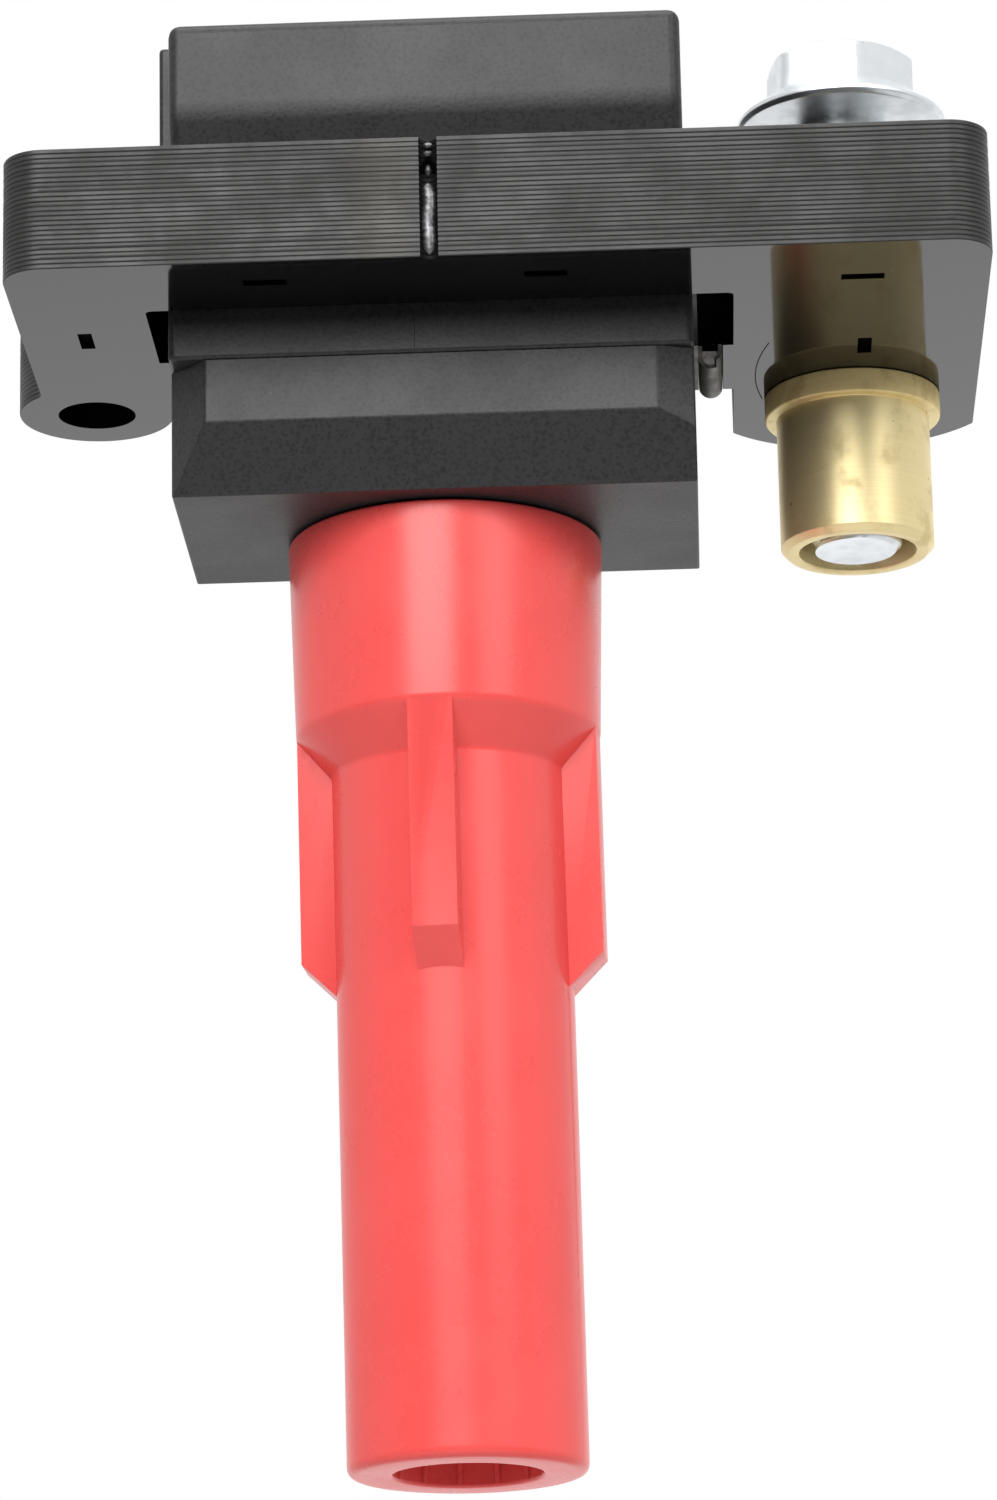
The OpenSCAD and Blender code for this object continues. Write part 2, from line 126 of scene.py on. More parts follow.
def makeWorld(s):
    world = bpy.data.worlds.new("studio")
    scene.world = world
    world.use_nodes = True
    tree = world.node_tree
    tree.nodes.clear()
    add = tree.nodes.new
    coordinate, split, ramp = add("ShaderNodeTexCoord"), add("ShaderNodeSeparateXYZ"), add("ShaderNodeMapRange")
    ramp.interpolation_type = "SMOOTHSTEP"
    ramp.inputs["From Min"].default_value, ramp.inputs["From Max"].default_value = s["skySpan"]
    ramp.inputs["To Min"].default_value, ramp.inputs["To Max"].default_value = s["dimSky"], s["brightSky"]
    drop, height = add("ShaderNodeMath"), add("ShaderNodeMath")
    side, product = add("ShaderNodeMapRange"), add("ShaderNodeMath")
    drop.operation, product.operation = "MULTIPLY", "MULTIPLY"
    drop.inputs[1].default_value = s["tilt"]
    side.inputs["From Min"].default_value, side.inputs["From Max"].default_value = s["sideSpan"]
    side.inputs["To Min"].default_value, side.inputs["To Max"].default_value = s["sideLevels"]
    glow, lit = add("ShaderNodeMapRange"), add("ShaderNodeMath")
    glow.interpolation_type, lit.operation = "SMOOTHSTEP", "MULTIPLY"
    glow.inputs["From Min"].default_value, glow.inputs["From Max"].default_value = s["glowSpan"]
    glow.inputs["To Min"].default_value, glow.inputs["To Max"].default_value = 1.0, s["glow"]
    light, seen, mix = add("ShaderNodeBackground"), add("ShaderNodeBackground"), add("ShaderNodeMixShader")
    seen.inputs["Color"].default_value = (*s["backdrop"], 1)
    path, out = add("ShaderNodeLightPath"), add("ShaderNodeOutputWorld")
    link = tree.links.new
    link(coordinate.outputs["Generated"], split.inputs[0])
    link(split.outputs["Z"], drop.inputs[0])
    link(split.outputs["Y"], height.inputs[0])
    link(drop.outputs[0], height.inputs[1])
    link(height.outputs[0], ramp.inputs["Value"])
    link(split.outputs["X"], side.inputs["Value"])
    link(ramp.outputs["Result"], product.inputs[0])
    link(side.outputs["Result"], product.inputs[1])
    link(split.outputs["Y"], glow.inputs["Value"])
    link(product.outputs[0], lit.inputs[0])
    link(glow.outputs["Result"], lit.inputs[1])
    link(lit.outputs[0], light.inputs["Strength"])
    link(path.outputs["Is Camera Ray"], mix.inputs[0])
    link(light.outputs[0], mix.inputs[1])
    link(seen.outputs[0], mix.inputs[2])
    link(mix.outputs[0], out.inputs["Surface"])


def makeSoftboxes(s):
    middle = (cadBounds[0] + cadBounds[1]) / 2
    for name, turn, lift, distance, width, height, power in s["boxes"]:
        turn, lift = radians(turn), radians(lift)
        back = Vector((sin(turn) * cos(lift), -cos(turn) * cos(lift), sin(lift)))
        lamp = bpy.data.objects.new(name, bpy.data.lights.new(name, "AREA"))
        scene.collection.objects.link(lamp)
        lamp.data.shape, lamp.data.size, lamp.data.size_y = "RECTANGLE", width, height
        lamp.data.energy = power
        lamp.location = middle + back * distance
        lamp.rotation_mode = "QUATERNION"
        lamp.rotation_quaternion = back.to_track_quat("Z", "Y")


makeWorld(lightSet)
makeSoftboxes(lightSet)
print("stage: camera and light")


# Shader groups

def newGroup(name, inputs, outputs):
    group = bpy.data.node_groups.new(name, "ShaderNodeTree")
    kinds = {"v": "NodeSocketVector", "f": "NodeSocketFloat", "c": "NodeSocketColor"}
    for label, kind, value in inputs:
        socket = group.interface.new_socket(label, in_out="INPUT", socket_type=kinds[kind])
        if value is not None:
            socket.default_value = value
    for label, kind in outputs:
        group.interface.new_socket(label, in_out="OUTPUT", socket_type=kinds[kind])
    return group, group.nodes.new("NodeGroupInput"), group.nodes.new("NodeGroupOutput")


def put(tree, kind, links=None, **settings):        # a node, its sockets linked or set to plain values
    node = tree.nodes.new(kind)
    for key, value in settings.items():
        setattr(node, key, value)
    for socket, value in (links or {}).items():
        if isinstance(value, bpy.types.NodeSocket):
            tree.links.new(value, node.inputs[socket])
        else:
            node.inputs[socket].default_value = value
    return node


def doMath(tree, operation, a, b=None, clamp=False):
    links = {0: a} if b is None else {0: a, 1: b}
    return put(tree, "ShaderNodeMath", links, operation=operation, use_clamp=clamp).outputs[0]


def stepUp(tree, value, low, high):
    return put(tree, "ShaderNodeMapRange", {"Value": value, "From Min": low, "From Max": high},
               interpolation_type="SMOOTHSTEP").outputs["Result"]


def groupMillimetres():             # the piece's own coordinates in mm
    group, _, leave = newGroup("millimetres", [], [("Vector", "v")])
    place = put(group, "ShaderNodeTexCoord")
    scale = put(group, "ShaderNodeVectorMath", {0: place.outputs["Object"], "Scale": 1000}, operation="SCALE")
    group.links.new(scale.outputs[0], leave.inputs[0])
    return group


def groupGrain():                   # moulded or cast grain: a fine cell pattern with a broad wave in it
    group, entry, leave = newGroup("grain", [("Vector", "v", None), ("Size", "f", 0.3), ("Waviness", "f", 0.3)],
                                   [("Height", "f"), ("Cloud", "f")])
    scale = doMath(group, "DIVIDE", 1.0, entry.outputs["Size"])
    cells = put(group, "ShaderNodeTexVoronoi", {"Vector": entry.outputs["Vector"], "Scale": scale, "Randomness": 1.0},
                feature="SMOOTH_F1").outputs["Distance"]
    fine = put(group, "ShaderNodeTexNoise", {"Vector": entry.outputs["Vector"], "Scale": scale, "Detail": 3.0,
                                             "Roughness": 0.6}).outputs["Fac"]
    broad = put(group, "ShaderNodeTexNoise", {"Vector": entry.outputs["Vector"], "Scale": 0.16,
                                              "Detail": 3.0}).outputs["Fac"]
    height = doMath(group, "ADD", cells, fine)
    height = doMath(group, "ADD", height, doMath(group, "MULTIPLY", broad, entry.outputs["Waviness"]))
    group.links.new(height, leave.inputs["Height"])
    group.links.new(broad, leave.inputs["Cloud"])
    return group


def groupSpecks():                  # scattered round specks, as of dust or spots
    group, entry, leave = newGroup("specks", [("Vector", "v", None), ("Spacing", "f", 2.0), ("Share", "f", 0.1),
                                              ("Radius", "f", 0.06)], [("Mask", "f")])
    scale = doMath(group, "DIVIDE", 1.0, entry.outputs["Spacing"])
    cell = put(group, "ShaderNodeTexVoronoi", {"Vector": entry.outputs["Vector"], "Scale": scale})
    dice = put(group, "ShaderNodeSeparateColor", {0: cell.outputs["Color"]})
    chosen = doMath(group, "LESS_THAN", dice.outputs[0], entry.outputs["Share"])
    size = doMath(group, "MULTIPLY", doMath(group, "MULTIPLY", entry.outputs["Radius"], scale),
                  doMath(group, "ADD", dice.outputs[1], 0.4))
    inside = doMath(group, "LESS_THAN", cell.outputs["Distance"], size)
    group.links.new(doMath(group, "MULTIPLY", chosen, inside), leave.inputs["Mask"])
    return group


def groupPatches():                 # soft patches between two levels
    group, entry, leave = newGroup("patches", [("Vector", "v", None), ("Size", "f", 4.0), ("Low", "f", 0.45),
                                               ("High", "f", 0.65)], [("Mask", "f")])
    scale = doMath(group, "DIVIDE", 1.0, entry.outputs["Size"])
    cloud = put(group, "ShaderNodeTexNoise", {"Vector": entry.outputs["Vector"], "Scale": scale, "Detail": 6.0,
                                              "Roughness": 0.62}).outputs["Fac"]
    ramp = put(group, "ShaderNodeMapRange", {"Value": cloud, "From Min": entry.outputs["Low"],
                                             "From Max": entry.outputs["High"]}, interpolation_type="SMOOTHSTEP")
    group.links.new(ramp.outputs["Result"], leave.inputs["Mask"])
    return group


def groupStripes():                 # fine stripes across Z, as on sheet stacks and turned parts
    group, entry, leave = newGroup("stripes", [("Vector", "v", None), ("Pitch", "f", 0.4), ("Wander", "f", 0.2),
                                               ("Start", "f", 0.0)], [("Wave", "f"), ("Random", "f")])
    split = put(group, "ShaderNodeSeparateXYZ", {0: entry.outputs["Vector"]})
    drift = put(group, "ShaderNodeTexNoise", {"Vector": entry.outputs["Vector"], "Scale": 0.35,
                                              "Detail": 4.0}).outputs["Fac"]
    height = doMath(group, "SUBTRACT", split.outputs["Z"], entry.outputs["Start"])
    height = doMath(group, "ADD", height, doMath(group, "MULTIPLY", doMath(group, "SUBTRACT", drift, 0.5),
                                                 entry.outputs["Wander"]))
    turns = doMath(group, "DIVIDE", height, entry.outputs["Pitch"])
    wave = doMath(group, "PINGPONG", turns, 0.5)
    whole = doMath(group, "FLOOR", turns)
    dice = put(group, "ShaderNodeTexWhiteNoise", {"W": whole}, noise_dimensions="1D").outputs["Value"]
    group.links.new(doMath(group, "MULTIPLY", wave, 2.0), leave.inputs["Wave"])
    group.links.new(dice, leave.inputs["Random"])
    return group


def groupScratches():               # long faint scratches along X
    group, entry, leave = newGroup("scratches", [("Vector", "v", None), ("Stretch", "f", 12.0), ("Size", "f", 0.5)],
                                   [("Mask", "f")])
    scale = doMath(group, "DIVIDE", 1.0, entry.outputs["Size"])
    squeeze = put(group, "ShaderNodeCombineXYZ", {0: doMath(group, "DIVIDE", 1.0, entry.outputs["Stretch"]),
                                                  1: 1.0, 2: 1.0})
    drawn = put(group, "ShaderNodeVectorMath", {0: entry.outputs["Vector"], 1: squeeze.outputs[0]},
                operation="MULTIPLY")
    fine = put(group, "ShaderNodeTexNoise", {"Vector": drawn.outputs[0], "Scale": scale, "Detail": 4.0,
                                             "Roughness": 0.7}).outputs["Fac"]
    group.links.new(stepUp(group, fine, 0.56, 0.74), leave.inputs["Mask"])
    return group


groups = {
    "millimetres": groupMillimetres(), "grain": groupGrain(), "specks": groupSpecks(), "patches": groupPatches(),
    "stripes": groupStripes(), "scratches": groupScratches(),
}


class Finish:                       # one material and the few steps that fill it
    def __init__(self, name, roughness, metallic=0.0, ior=1.5):
        self.material = bpy.data.materials.new(name)
        self.material.use_nodes = True
        self.tree = self.material.node_tree
        self.shader = self.tree.nodes["Principled BSDF"]
        self.shader.inputs["Roughness"].default_value = roughness
        self.shader.inputs["Metallic"].default_value = metallic
        self.shader.inputs["IOR"].default_value = ior
        self.place = self.group("millimetres").outputs[0]

    def group(self, name, **values):
        node = self.tree.nodes.new("ShaderNodeGroup")
        node.node_tree = groups[name]
        for label, value in values.items():
            if isinstance(value, bpy.types.NodeSocket):
                self.tree.links.new(value, node.inputs[label])
            else:
                node.inputs[label].default_value = value
        return node

    def mix(self, mask, a, b):
        links = {0: mask, 6: a if isinstance(a, bpy.types.NodeSocket) else (*a, 1),
                 7: b if isinstance(b, bpy.types.NodeSocket) else (*b, 1)}
        return put(self.tree, "ShaderNodeMix", links, data_type="RGBA", blend_type="MIX").outputs[2]

    def span(self, mask, low, high):
        return put(self.tree, "ShaderNodeMapRange", {"Value": mask, "To Min": low, "To Max": high}).outputs["Result"]

    def scaled(self, mask, factor):
        return doMath(self.tree, "MULTIPLY", mask, factor)

    def color(self, socket):
        self.tree.links.new(socket, self.shader.inputs["Base Color"])

    def roughness(self, socket):
        self.tree.links.new(socket, self.shader.inputs["Roughness"])

    def bump(self, height, depth, strength):
        links = {"Height": height, "Distance": depth * mm, "Strength": strength}
        normal = put(self.tree, "ShaderNodeBump", links).outputs["Normal"]
        self.tree.links.new(normal, self.shader.inputs["Normal"])


# Materials

spacerLow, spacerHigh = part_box("spacer_sleeve")
spacerCentre = (spacerLow + spacerHigh) / 2 / mm
yokeLow, yokeHigh = (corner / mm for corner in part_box("core_yoke"))


def finishVarnish():                # glossy face of the outer sheet
    f = Finish("varnishedSteel", 0.055)
    cloud = f.group("patches", Vector=f.place, Size=14.0, Low=0.35, High=0.7).outputs[0]
    f.roughness(f.span(cloud, 0.045, 0.085))
    grain = f.group("grain", Vector=f.place, Size=1.6, Waviness=1.2)
    specks = f.group("specks", Vector=f.place, Spacing=3.5, Share=0.07, Radius=0.07).outputs[0]
    base = f.mix(cloud, (0.0018, 0.0018, 0.0021), (0.003, 0.003, 0.0034))
    f.color(f.mix(specks, base, (0.25, 0.25, 0.26)))
    f.bump(grain.outputs["Height"], 0.0035, 0.12)
    return f.material


sheetPitch = 0.424                  # mm, one lamination


def finishSheetEdges(name, level):  # the cut edges of the sheets, or at a low level the same edges darkened as painted shade
    def tone(*color):
        return tuple(level * v for v in color)
    # a low level also weakens the reflection, as part of the painted shade
    f = Finish(name, 0.5, metallic=0.2, ior=1.5 if level > 0.5 else 1.15)
    lines = f.group("stripes", Vector=f.place, Pitch=sheetPitch, Wander=0.12, Start=yokeLow.z)
    patches = f.group("patches", Vector=f.place, Size=7.0, Low=0.36, High=0.66).outputs[0]
    scratches = f.group("scratches", Vector=f.place, Stretch=26.0, Size=0.28).outputs[0]
    base = f.mix(lines.outputs["Wave"], tone(0.014, 0.0132, 0.0125), tone(0.048, 0.047, 0.047))
    base = f.mix(lines.outputs["Random"], base, f.mix(lines.outputs["Wave"], tone(0.016, 0.015, 0.014),
                                                      tone(0.062, 0.060, 0.058)))
    broken = f.group("patches", Vector=f.place, Size=2.2, Low=0.42, High=0.6).outputs[0]
    base = f.mix(f.scaled(broken, 0.6), base, tone(0.027, 0.0262, 0.0255))
    base = f.mix(f.scaled(patches, 0.4), base, tone(0.018, 0.0165, 0.0145))
    split = put(f.tree, "ShaderNodeSeparateXYZ", {0: f.place})
    fromWeld = doMath(f.tree, "ABSOLUTE", doMath(f.tree, "ADD", split.outputs["X"], 3.6))
    heat = doMath(f.tree, "SUBTRACT", 1.0, stepUp(f.tree, fromWeld, 0.3, 3.2), clamp=True)
    base = f.mix(f.scaled(heat, 0.4), base, tone(0.085, 0.075, 0.05))
    close = doMath(f.tree, "SUBTRACT", 1.0, stepUp(f.tree, doMath(f.tree, "ABSOLUTE", split.outputs["X"]), 0.8,
                                                   2.4), clamp=True)
    base = f.mix(f.scaled(close, 0.35), base, tone(0.075, 0.075, 0.078))
    f.color(f.mix(f.scaled(scratches, 0.3), base, tone(0.10, 0.10, 0.098)))
    f.roughness(f.span(patches, 0.4, 0.56))
    f.bump(lines.outputs["Wave"], 0.014, 0.3)
    return f.material


def finishWeld():
    f = Finish("weldMetal", 0.4, metallic=0.8)
    cloud = f.group("patches", Vector=f.place, Size=0.7, Low=0.4, High=0.62).outputs[0]
    f.color(f.mix(cloud, (0.07, 0.07, 0.072), (0.20, 0.195, 0.20)))
    f.bump(f.group("grain", Vector=f.place, Size=0.2, Waviness=0.2).outputs["Height"], 0.02, 0.5)
    return f.material


def finishCase():                   # spark-eroded grain on glass-filled plastic
    f = Finish("casePlastic", 0.5, ior=1.42)
    grain = f.group("grain", Vector=f.place, Size=0.34, Waviness=0.25)
    cloud = f.group("patches", Vector=f.place, Size=9.0, Low=0.38, High=0.64).outputs[0]
    base = f.mix(cloud, (0.0095, 0.0093, 0.0103), (0.0112, 0.0110, 0.0120))
    # the grain's raised points are painted lighter: a painted highlight on the grain
    base = f.mix(f.scaled(stepUp(f.tree, grain.outputs["Height"], 0.7, 1.15), 0.6), base, (0.030, 0.030, 0.032))
    dust = f.group("specks", Vector=f.place, Spacing=1.7, Share=0.045, Radius=0.055).outputs[0]
    f.color(f.mix(dust, base, (0.55, 0.55, 0.56)))
    f.roughness(f.span(cloud, 0.40, 0.45))
    f.bump(grain.outputs["Height"], 0.016, 0.6)
    return f.material


def finishBoot():
    f = Finish("redSilicone", 0.2, ior=1.43)
    grain = f.group("grain", Vector=f.place, Size=0.5, Waviness=1.4)
    cloud = f.group("patches", Vector=f.place, Size=11.0, Low=0.35, High=0.7).outputs[0]
    base = f.mix(cloud, (0.785, 0.080, 0.074), (0.815, 0.090, 0.083))
    dust = f.group("specks", Vector=f.place, Spacing=2.6, Share=0.05, Radius=0.06).outputs[0]
    f.color(f.mix(f.scaled(dust, 0.7), base, (0.95, 0.6, 0.55)))
    f.roughness(f.span(cloud, 0.26, 0.32))
    f.bump(grain.outputs["Height"], 0.006, 0.3)
    f.shader.inputs["Subsurface Weight"].default_value = 0.12
    f.shader.inputs["Subsurface Radius"].default_value = (1.0, 0.25, 0.15)
    f.shader.inputs["Subsurface Scale"].default_value = 0.0012
    return f.material


def finishBrass(name, bright, dull, roughness, spots=0.3, metallic=1.0):
    f = Finish(name, roughness, metallic=metallic)
    rings = f.group("stripes", Vector=f.place, Pitch=0.11, Wander=0.02, Start=0.0)
    cloud = f.group("patches", Vector=f.place, Size=3.4, Low=0.5, High=0.68).outputs[0]
    stains = f.group("specks", Vector=f.place, Spacing=1.5, Share=0.1, Radius=0.16).outputs[0]
    base = f.mix(f.scaled(cloud, spots), bright, dull)
    base = f.mix(f.scaled(rings.outputs["Random"], 0.14), base, dull)
    f.color(f.mix(f.scaled(stains, 0.55), base, (0.45, 0.22, 0.09)))
    f.roughness(f.span(cloud, roughness, roughness + 0.12))
    f.bump(rings.outputs["Random"], 0.0010, 0.25)
    return f.material


def finishSteel(name, light, dark, roughness, size=2.5):
    f = Finish(name, roughness, metallic=1.0)
    cloud = f.group("patches", Vector=f.place, Size=size, Low=0.38, High=0.66).outputs[0]
    grain = f.group("grain", Vector=f.place, Size=0.25, Waviness=0.8)
    f.color(f.mix(cloud, light, dark))
    f.roughness(f.span(cloud, roughness, roughness + 0.1))
    f.bump(grain.outputs["Height"], 0.004, 0.35)
    return f.material


def finishPlain(name, light, dark, roughness, grainSize=0.4, depth=0.01, size=6.0, ior=1.5):
    f = Finish(name, roughness, ior=ior)
    cloud = f.group("patches", Vector=f.place, Size=size, Low=0.36, High=0.66).outputs[0]
    grain = f.group("grain", Vector=f.place, Size=grainSize, Waviness=0.6)
    f.color(f.mix(cloud, light, dark))
    f.roughness(f.span(cloud, roughness - 0.04, roughness + 0.05))
    f.bump(grain.outputs["Height"], depth, 0.4)
    return f.material


def finishWire(name, light, dark, pitch):   # turns of enamelled wire, side by side along X
    f = Finish(name, 0.28, metallic=0.75)
    split = put(f.tree, "ShaderNodeSeparateXYZ", {0: f.place})
    wave = f.scaled(doMath(f.tree, "PINGPONG", doMath(f.tree, "DIVIDE", split.outputs["X"], pitch), 0.5), 2.0)
    cloud = f.group("patches", Vector=f.place, Size=5.0, Low=0.4, High=0.62).outputs[0]
    base = f.mix(cloud, light, dark)
    # each turn is painted darker towards where it meets the next: painted shade in the creases between the round wires
    f.color(f.mix(wave, dark, base))
    f.bump(wave, pitch * 0.4, 0.7)
    return f.material


materials = {
    "varnish": finishVarnish(),
    "sheetEdges": finishSheetEdges("laminatedEdges", 0.62),
    # the edge finish at a fifth of the level: painted shade for the weld groove
    "sheetShade": finishSheetEdges("laminatedEdgesPaintedShade", 0.2),
    # near black with almost no reflection: painted shade for recesses, holes, the window, the weld pit and the clip's
    # upper part, also the fine scribed line
    "pocket": finishPlain("paintedShadeAndLineBlack", (0.0008, 0.0008, 0.0008), (0.0015, 0.0015, 0.0015), 0.7, ior=1.06),
    "weld": finishWeld(),
    "case": finishCase(),
    "boot": finishBoot(),
    "spacerBrass": finishBrass("turnedBrass", (0.88, 0.74, 0.40), (0.62, 0.49, 0.23), 0.42, 0.5, 0.72),
    # very bright, almost non-metallic brass: a dull turned finish with painted light, since the yoke above keeps the
    # lamps off the collar
    "collarBrassPaintedLight": finishBrass("dullBrassPaintedLight", (0.95, 0.75, 0.35), (0.62, 0.46, 0.18), 0.6, 0.7, 0.05),
    "terminalBrass": finishBrass("stampedBrass", (0.80, 0.62, 0.30), (0.55, 0.40, 0.18), 0.25, 0.5),
    "zinc": finishSteel("zincPlating", (0.82, 0.85, 0.87), (0.74, 0.78, 0.81), 0.3),
    "springSteel": finishSteel("springSteel", (0.21, 0.207, 0.197), (0.14, 0.137, 0.13), 0.48, 1.2),
    # nickel darkened far below its own tone: painted shade on the magnet deep under the core, with some tarnish
    "magnet": finishSteel("darkNickelPaintedShade", (0.15, 0.147, 0.14), (0.11, 0.107, 0.103), 0.4),
    "tinned": finishSteel("tinnedMetal", (0.66, 0.65, 0.60), (0.52, 0.50, 0.45), 0.26, 1.5),
    "aluminium": finishSteel("bareAluminium", (0.74, 0.75, 0.77), (0.62, 0.63, 0.65), 0.34),
    "resin": finishPlain("castingResin", (0.012, 0.012, 0.013), (0.02, 0.02, 0.022), 0.16, 2.4, 0.05, 8.0),
    "module": finishPlain("mouldedPackage", (0.014, 0.014, 0.015), (0.022, 0.022, 0.023), 0.4, 0.15),
    "bobbin": finishPlain("naturalPlastic", (0.60, 0.56, 0.44), (0.66, 0.62, 0.50), 0.42, 0.5),
    "ceramic": finishPlain("rawCeramic", (0.70, 0.66, 0.56), (0.60, 0.56, 0.46), 0.7, 0.2, 0.02),
    "rubber": finishPlain("blackRubber", (0.016, 0.016, 0.017), (0.026, 0.026, 0.027), 0.6, 0.3),
    "heavyWire": finishWire("heavyCopperWire", (0.60, 0.26, 0.10), (0.26, 0.09, 0.03), 0.6),
    "fineWire": finishWire("fineCopperWire", (0.44, 0.15, 0.06), (0.20, 0.06, 0.02), 0.09),
    "floor": finishPlain("paleFloor", (0.80, 0.80, 0.80), (0.77, 0.77, 0.77), 0.8, 30.0, 0.1, 400.0),
}
print("stage: materials")


# Mesh helpers, all in mm until newPiece makes metres of them

def newPiece(name, bm, finishes, body="coil", stands=(), sharp=35):
    bmesh.ops.recalc_face_normals(bm, faces=bm.faces)
    bmesh.ops.scale(bm, vec=(mm, mm, mm), verts=bm.verts)
    mesh = bpy.data.meshes.new(name)
    bm.to_mesh(mesh)
    bm.free()
    for finish in finishes if isinstance(finishes, list) else [finishes]:
        mesh.materials.append(materials[finish])
    for face in mesh.polygons:
        face.use_smooth = True
    mesh.set_sharp_from_angle(angle=radians(sharp))
    piece = bpy.data.objects.new(name, mesh)
    scene.collection.objects.link(piece)
    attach(piece, body)
    if stands:
        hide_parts(*stands)
    return piece


def soften(piece, width, segments=3, angle=30, weighted=False):
    bevel = piece.modifiers.new("softEdges", "BEVEL")
    bevel.width, bevel.segments = width * mm, segments
    bevel.limit_method = "WEIGHT" if weighted else "ANGLE"
    bevel.angle_limit = radians(angle)
    bevel.use_clamp_overlap = True
    bevel.miter_outer = "MITER_ARC"
    steady = piece.modifiers.new("flatFaces", "WEIGHTED_NORMAL")
    steady.keep_sharp = True
    return piece


def settle(piece):                  # the modifiers become the mesh
    bpy.context.view_layer.update()
    graph = bpy.context.evaluated_depsgraph_get()
    mesh = bpy.data.meshes.new_from_object(piece.evaluated_get(graph))
    piece.modifiers.clear()
    old, piece.data = piece.data, mesh
    bpy.data.meshes.remove(old)
    return piece


def addBox(bm, low, high):
    made = bmesh.ops.create_cube(bm, size=1)["verts"]
    low, high = Vector(low), Vector(high)
    for v in made:
        v.co = Vector([low[i] + (high[i] - low[i]) * (v.co[i] + 0.5) for i in range(3)])
    return made


def planeOff(bm, point, outward):   # cuts away what lies outside a plane and caps the cut
    cut = bmesh.ops.bisect_plane(bm, geom=bm.verts[:] + bm.edges[:] + bm.faces[:], plane_co=point, plane_no=outward,
                                 clear_outer=True)["geom_cut"]
    bmesh.ops.holes_fill(bm, edges=[g for g in cut if isinstance(g, bmesh.types.BMEdge)])


def joinRings(bm, rings):           # quads between closed loops that follow each other
    for a, b in zip(rings, rings[1:]):
        for k in range(len(a)):
            n = (k + 1) % len(a)
            bm.faces.new((a[k], a[n], b[n], b[k]))


def addLathe(bm, profile, centre=(0, 0), steps=96):    # a (radius, height) profile turned about Z
    rings = []
    for k in range(steps):
        a = 2 * pi * k / steps
        rings.append([bm.verts.new((centre[0] + r * cos(a), centre[1] + r * sin(a), z)) for r, z in profile])
    count = len(profile)
    for k in range(steps):
        this, after = rings[k], rings[(k + 1) % steps]
        for j in range(count):
            i = (j + 1) % count
            bm.faces.new((this[j], after[j], after[i], this[i]))
    bmesh.ops.remove_doubles(bm, verts=[v for ring in rings for v in ring], dist=1e-5)


def roundProfile(points, radii, steps=4):   # the closed profile, each corner rounded by its own radius
    made = []
    count = len(points)
    for i, (p, r) in enumerate(zip(points, radii)):
        p, before, after = Vector(p), Vector(points[i - 1]), Vector(points[(i + 1) % count])
        if r <= 0:
            made.append(tuple(p))
            continue
        a, b = before - p, after - p
        half = a.angle(b) / 2
        reach = min(r / max(0.05, abs(sin(half) / cos(half))), a.length * 0.49, b.length * 0.49)
        start, end = p + a.normalized() * reach, p + b.normalized() * reach
        for k in range(steps + 1):
            t = k / steps
            made.append(tuple(start * (1 - t) ** 2 + p * 2 * t * (1 - t) + end * t ** 2))
    return made


def arcPoints(centre, radius, start, end, steps):
    return [(centre[0] + radius * cos(radians(start + (end - start) * k / steps)),
             centre[1] + radius * sin(radians(start + (end - start) * k / steps))) for k in range(steps + 1)]


def addPrism(bm, outline, low, high, axis="Z"):     # for X the outline is (y, z), for Y it is (x, z)
    turned = {"Z": lambda p, h: (p[0], p[1], h), "X": lambda p, h: (h, p[0], p[1]), "Y": lambda p,
              h: (p[0], h, p[1])}[axis]
    bottom = [bm.verts.new(turned(p, low)) for p in outline]
    top = [bm.verts.new(turned(p, high)) for p in outline]
    bm.faces.new(bottom)
    bm.faces.new(list(reversed(top)))
    joinRings(bm, [bottom, top])
    return bottom + top


def addTube(bm, path, r, sides):    # a round bar along a path
    path = [Vector(p) for p in path]
    rings, side = [], None
    for i, p in enumerate(path):
        along = (path[min(i + 1, len(path) - 1)] - path[max(i - 1, 0)]).normalized()
        if side is None:
            side = along.orthogonal().normalized()
        side = (side - along * side.dot(along)).normalized()
        other = along.cross(side)
        rings.append([bm.verts.new(p + side * r * cos(2 * pi * k / sides) + other * r * sin(2 * pi * k / sides))
                      for k in range(sides)])
    joinRings(bm, rings)
    bm.faces.new(list(reversed(rings[0])))
    bm.faces.new(rings[-1])


def boxOf(node):
    low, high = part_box(node)
    return low / mm, high / mm


# Laminated core

yoke = {
    "left": -35.15,                 # of the leg and arm; the round ear reaches further
    "legDepth": 10.5, "cornerRadius": 3.5,
    "windowLeft": -24.0, "windowRight": 25.3,
    "poleLeft": -22.7, "poleRight": 24.4,
    "poleFront": -6.6, "poleBack": 4.4,
    "earRadius": 6.8, "earHole": 3.35, "earFillet": 1.2, "rightRadius": 13.4,
    "spacerHole": 6.7, "windowRadius": 0.5,
    "weldRadius": 0.75,
    "sheetGroove": 0.055,           # depth of the line between two sheets
    "sheetRound": 0.09,             # height of a sheet's rounded edge
    "sheetShift": 0.018,            # how far sheets lie out of line
    "tabs": [(-13.5, -24.7, 0), (9.8, -24.7, 0), (36.1, -21.7, 0), (-29.7, -12.4, 90), (36.6, -5.4, 90)],
    "tabLength": 3.6, "tabWidth": 1.2, "tabDepth": 0.5,
}
mounts = {m["name"]: Vector(m["pos_m"]) / mm for m in frame["record"]["mounts"]}
earAt = (mounts["ear_hole"].x, mounts["ear_hole"].y)
spacerAt = (spacerCentre.x, spacerCentre.y)
weldAt = sum(corner.x for corner in boxOf("weld_bead")) / 2


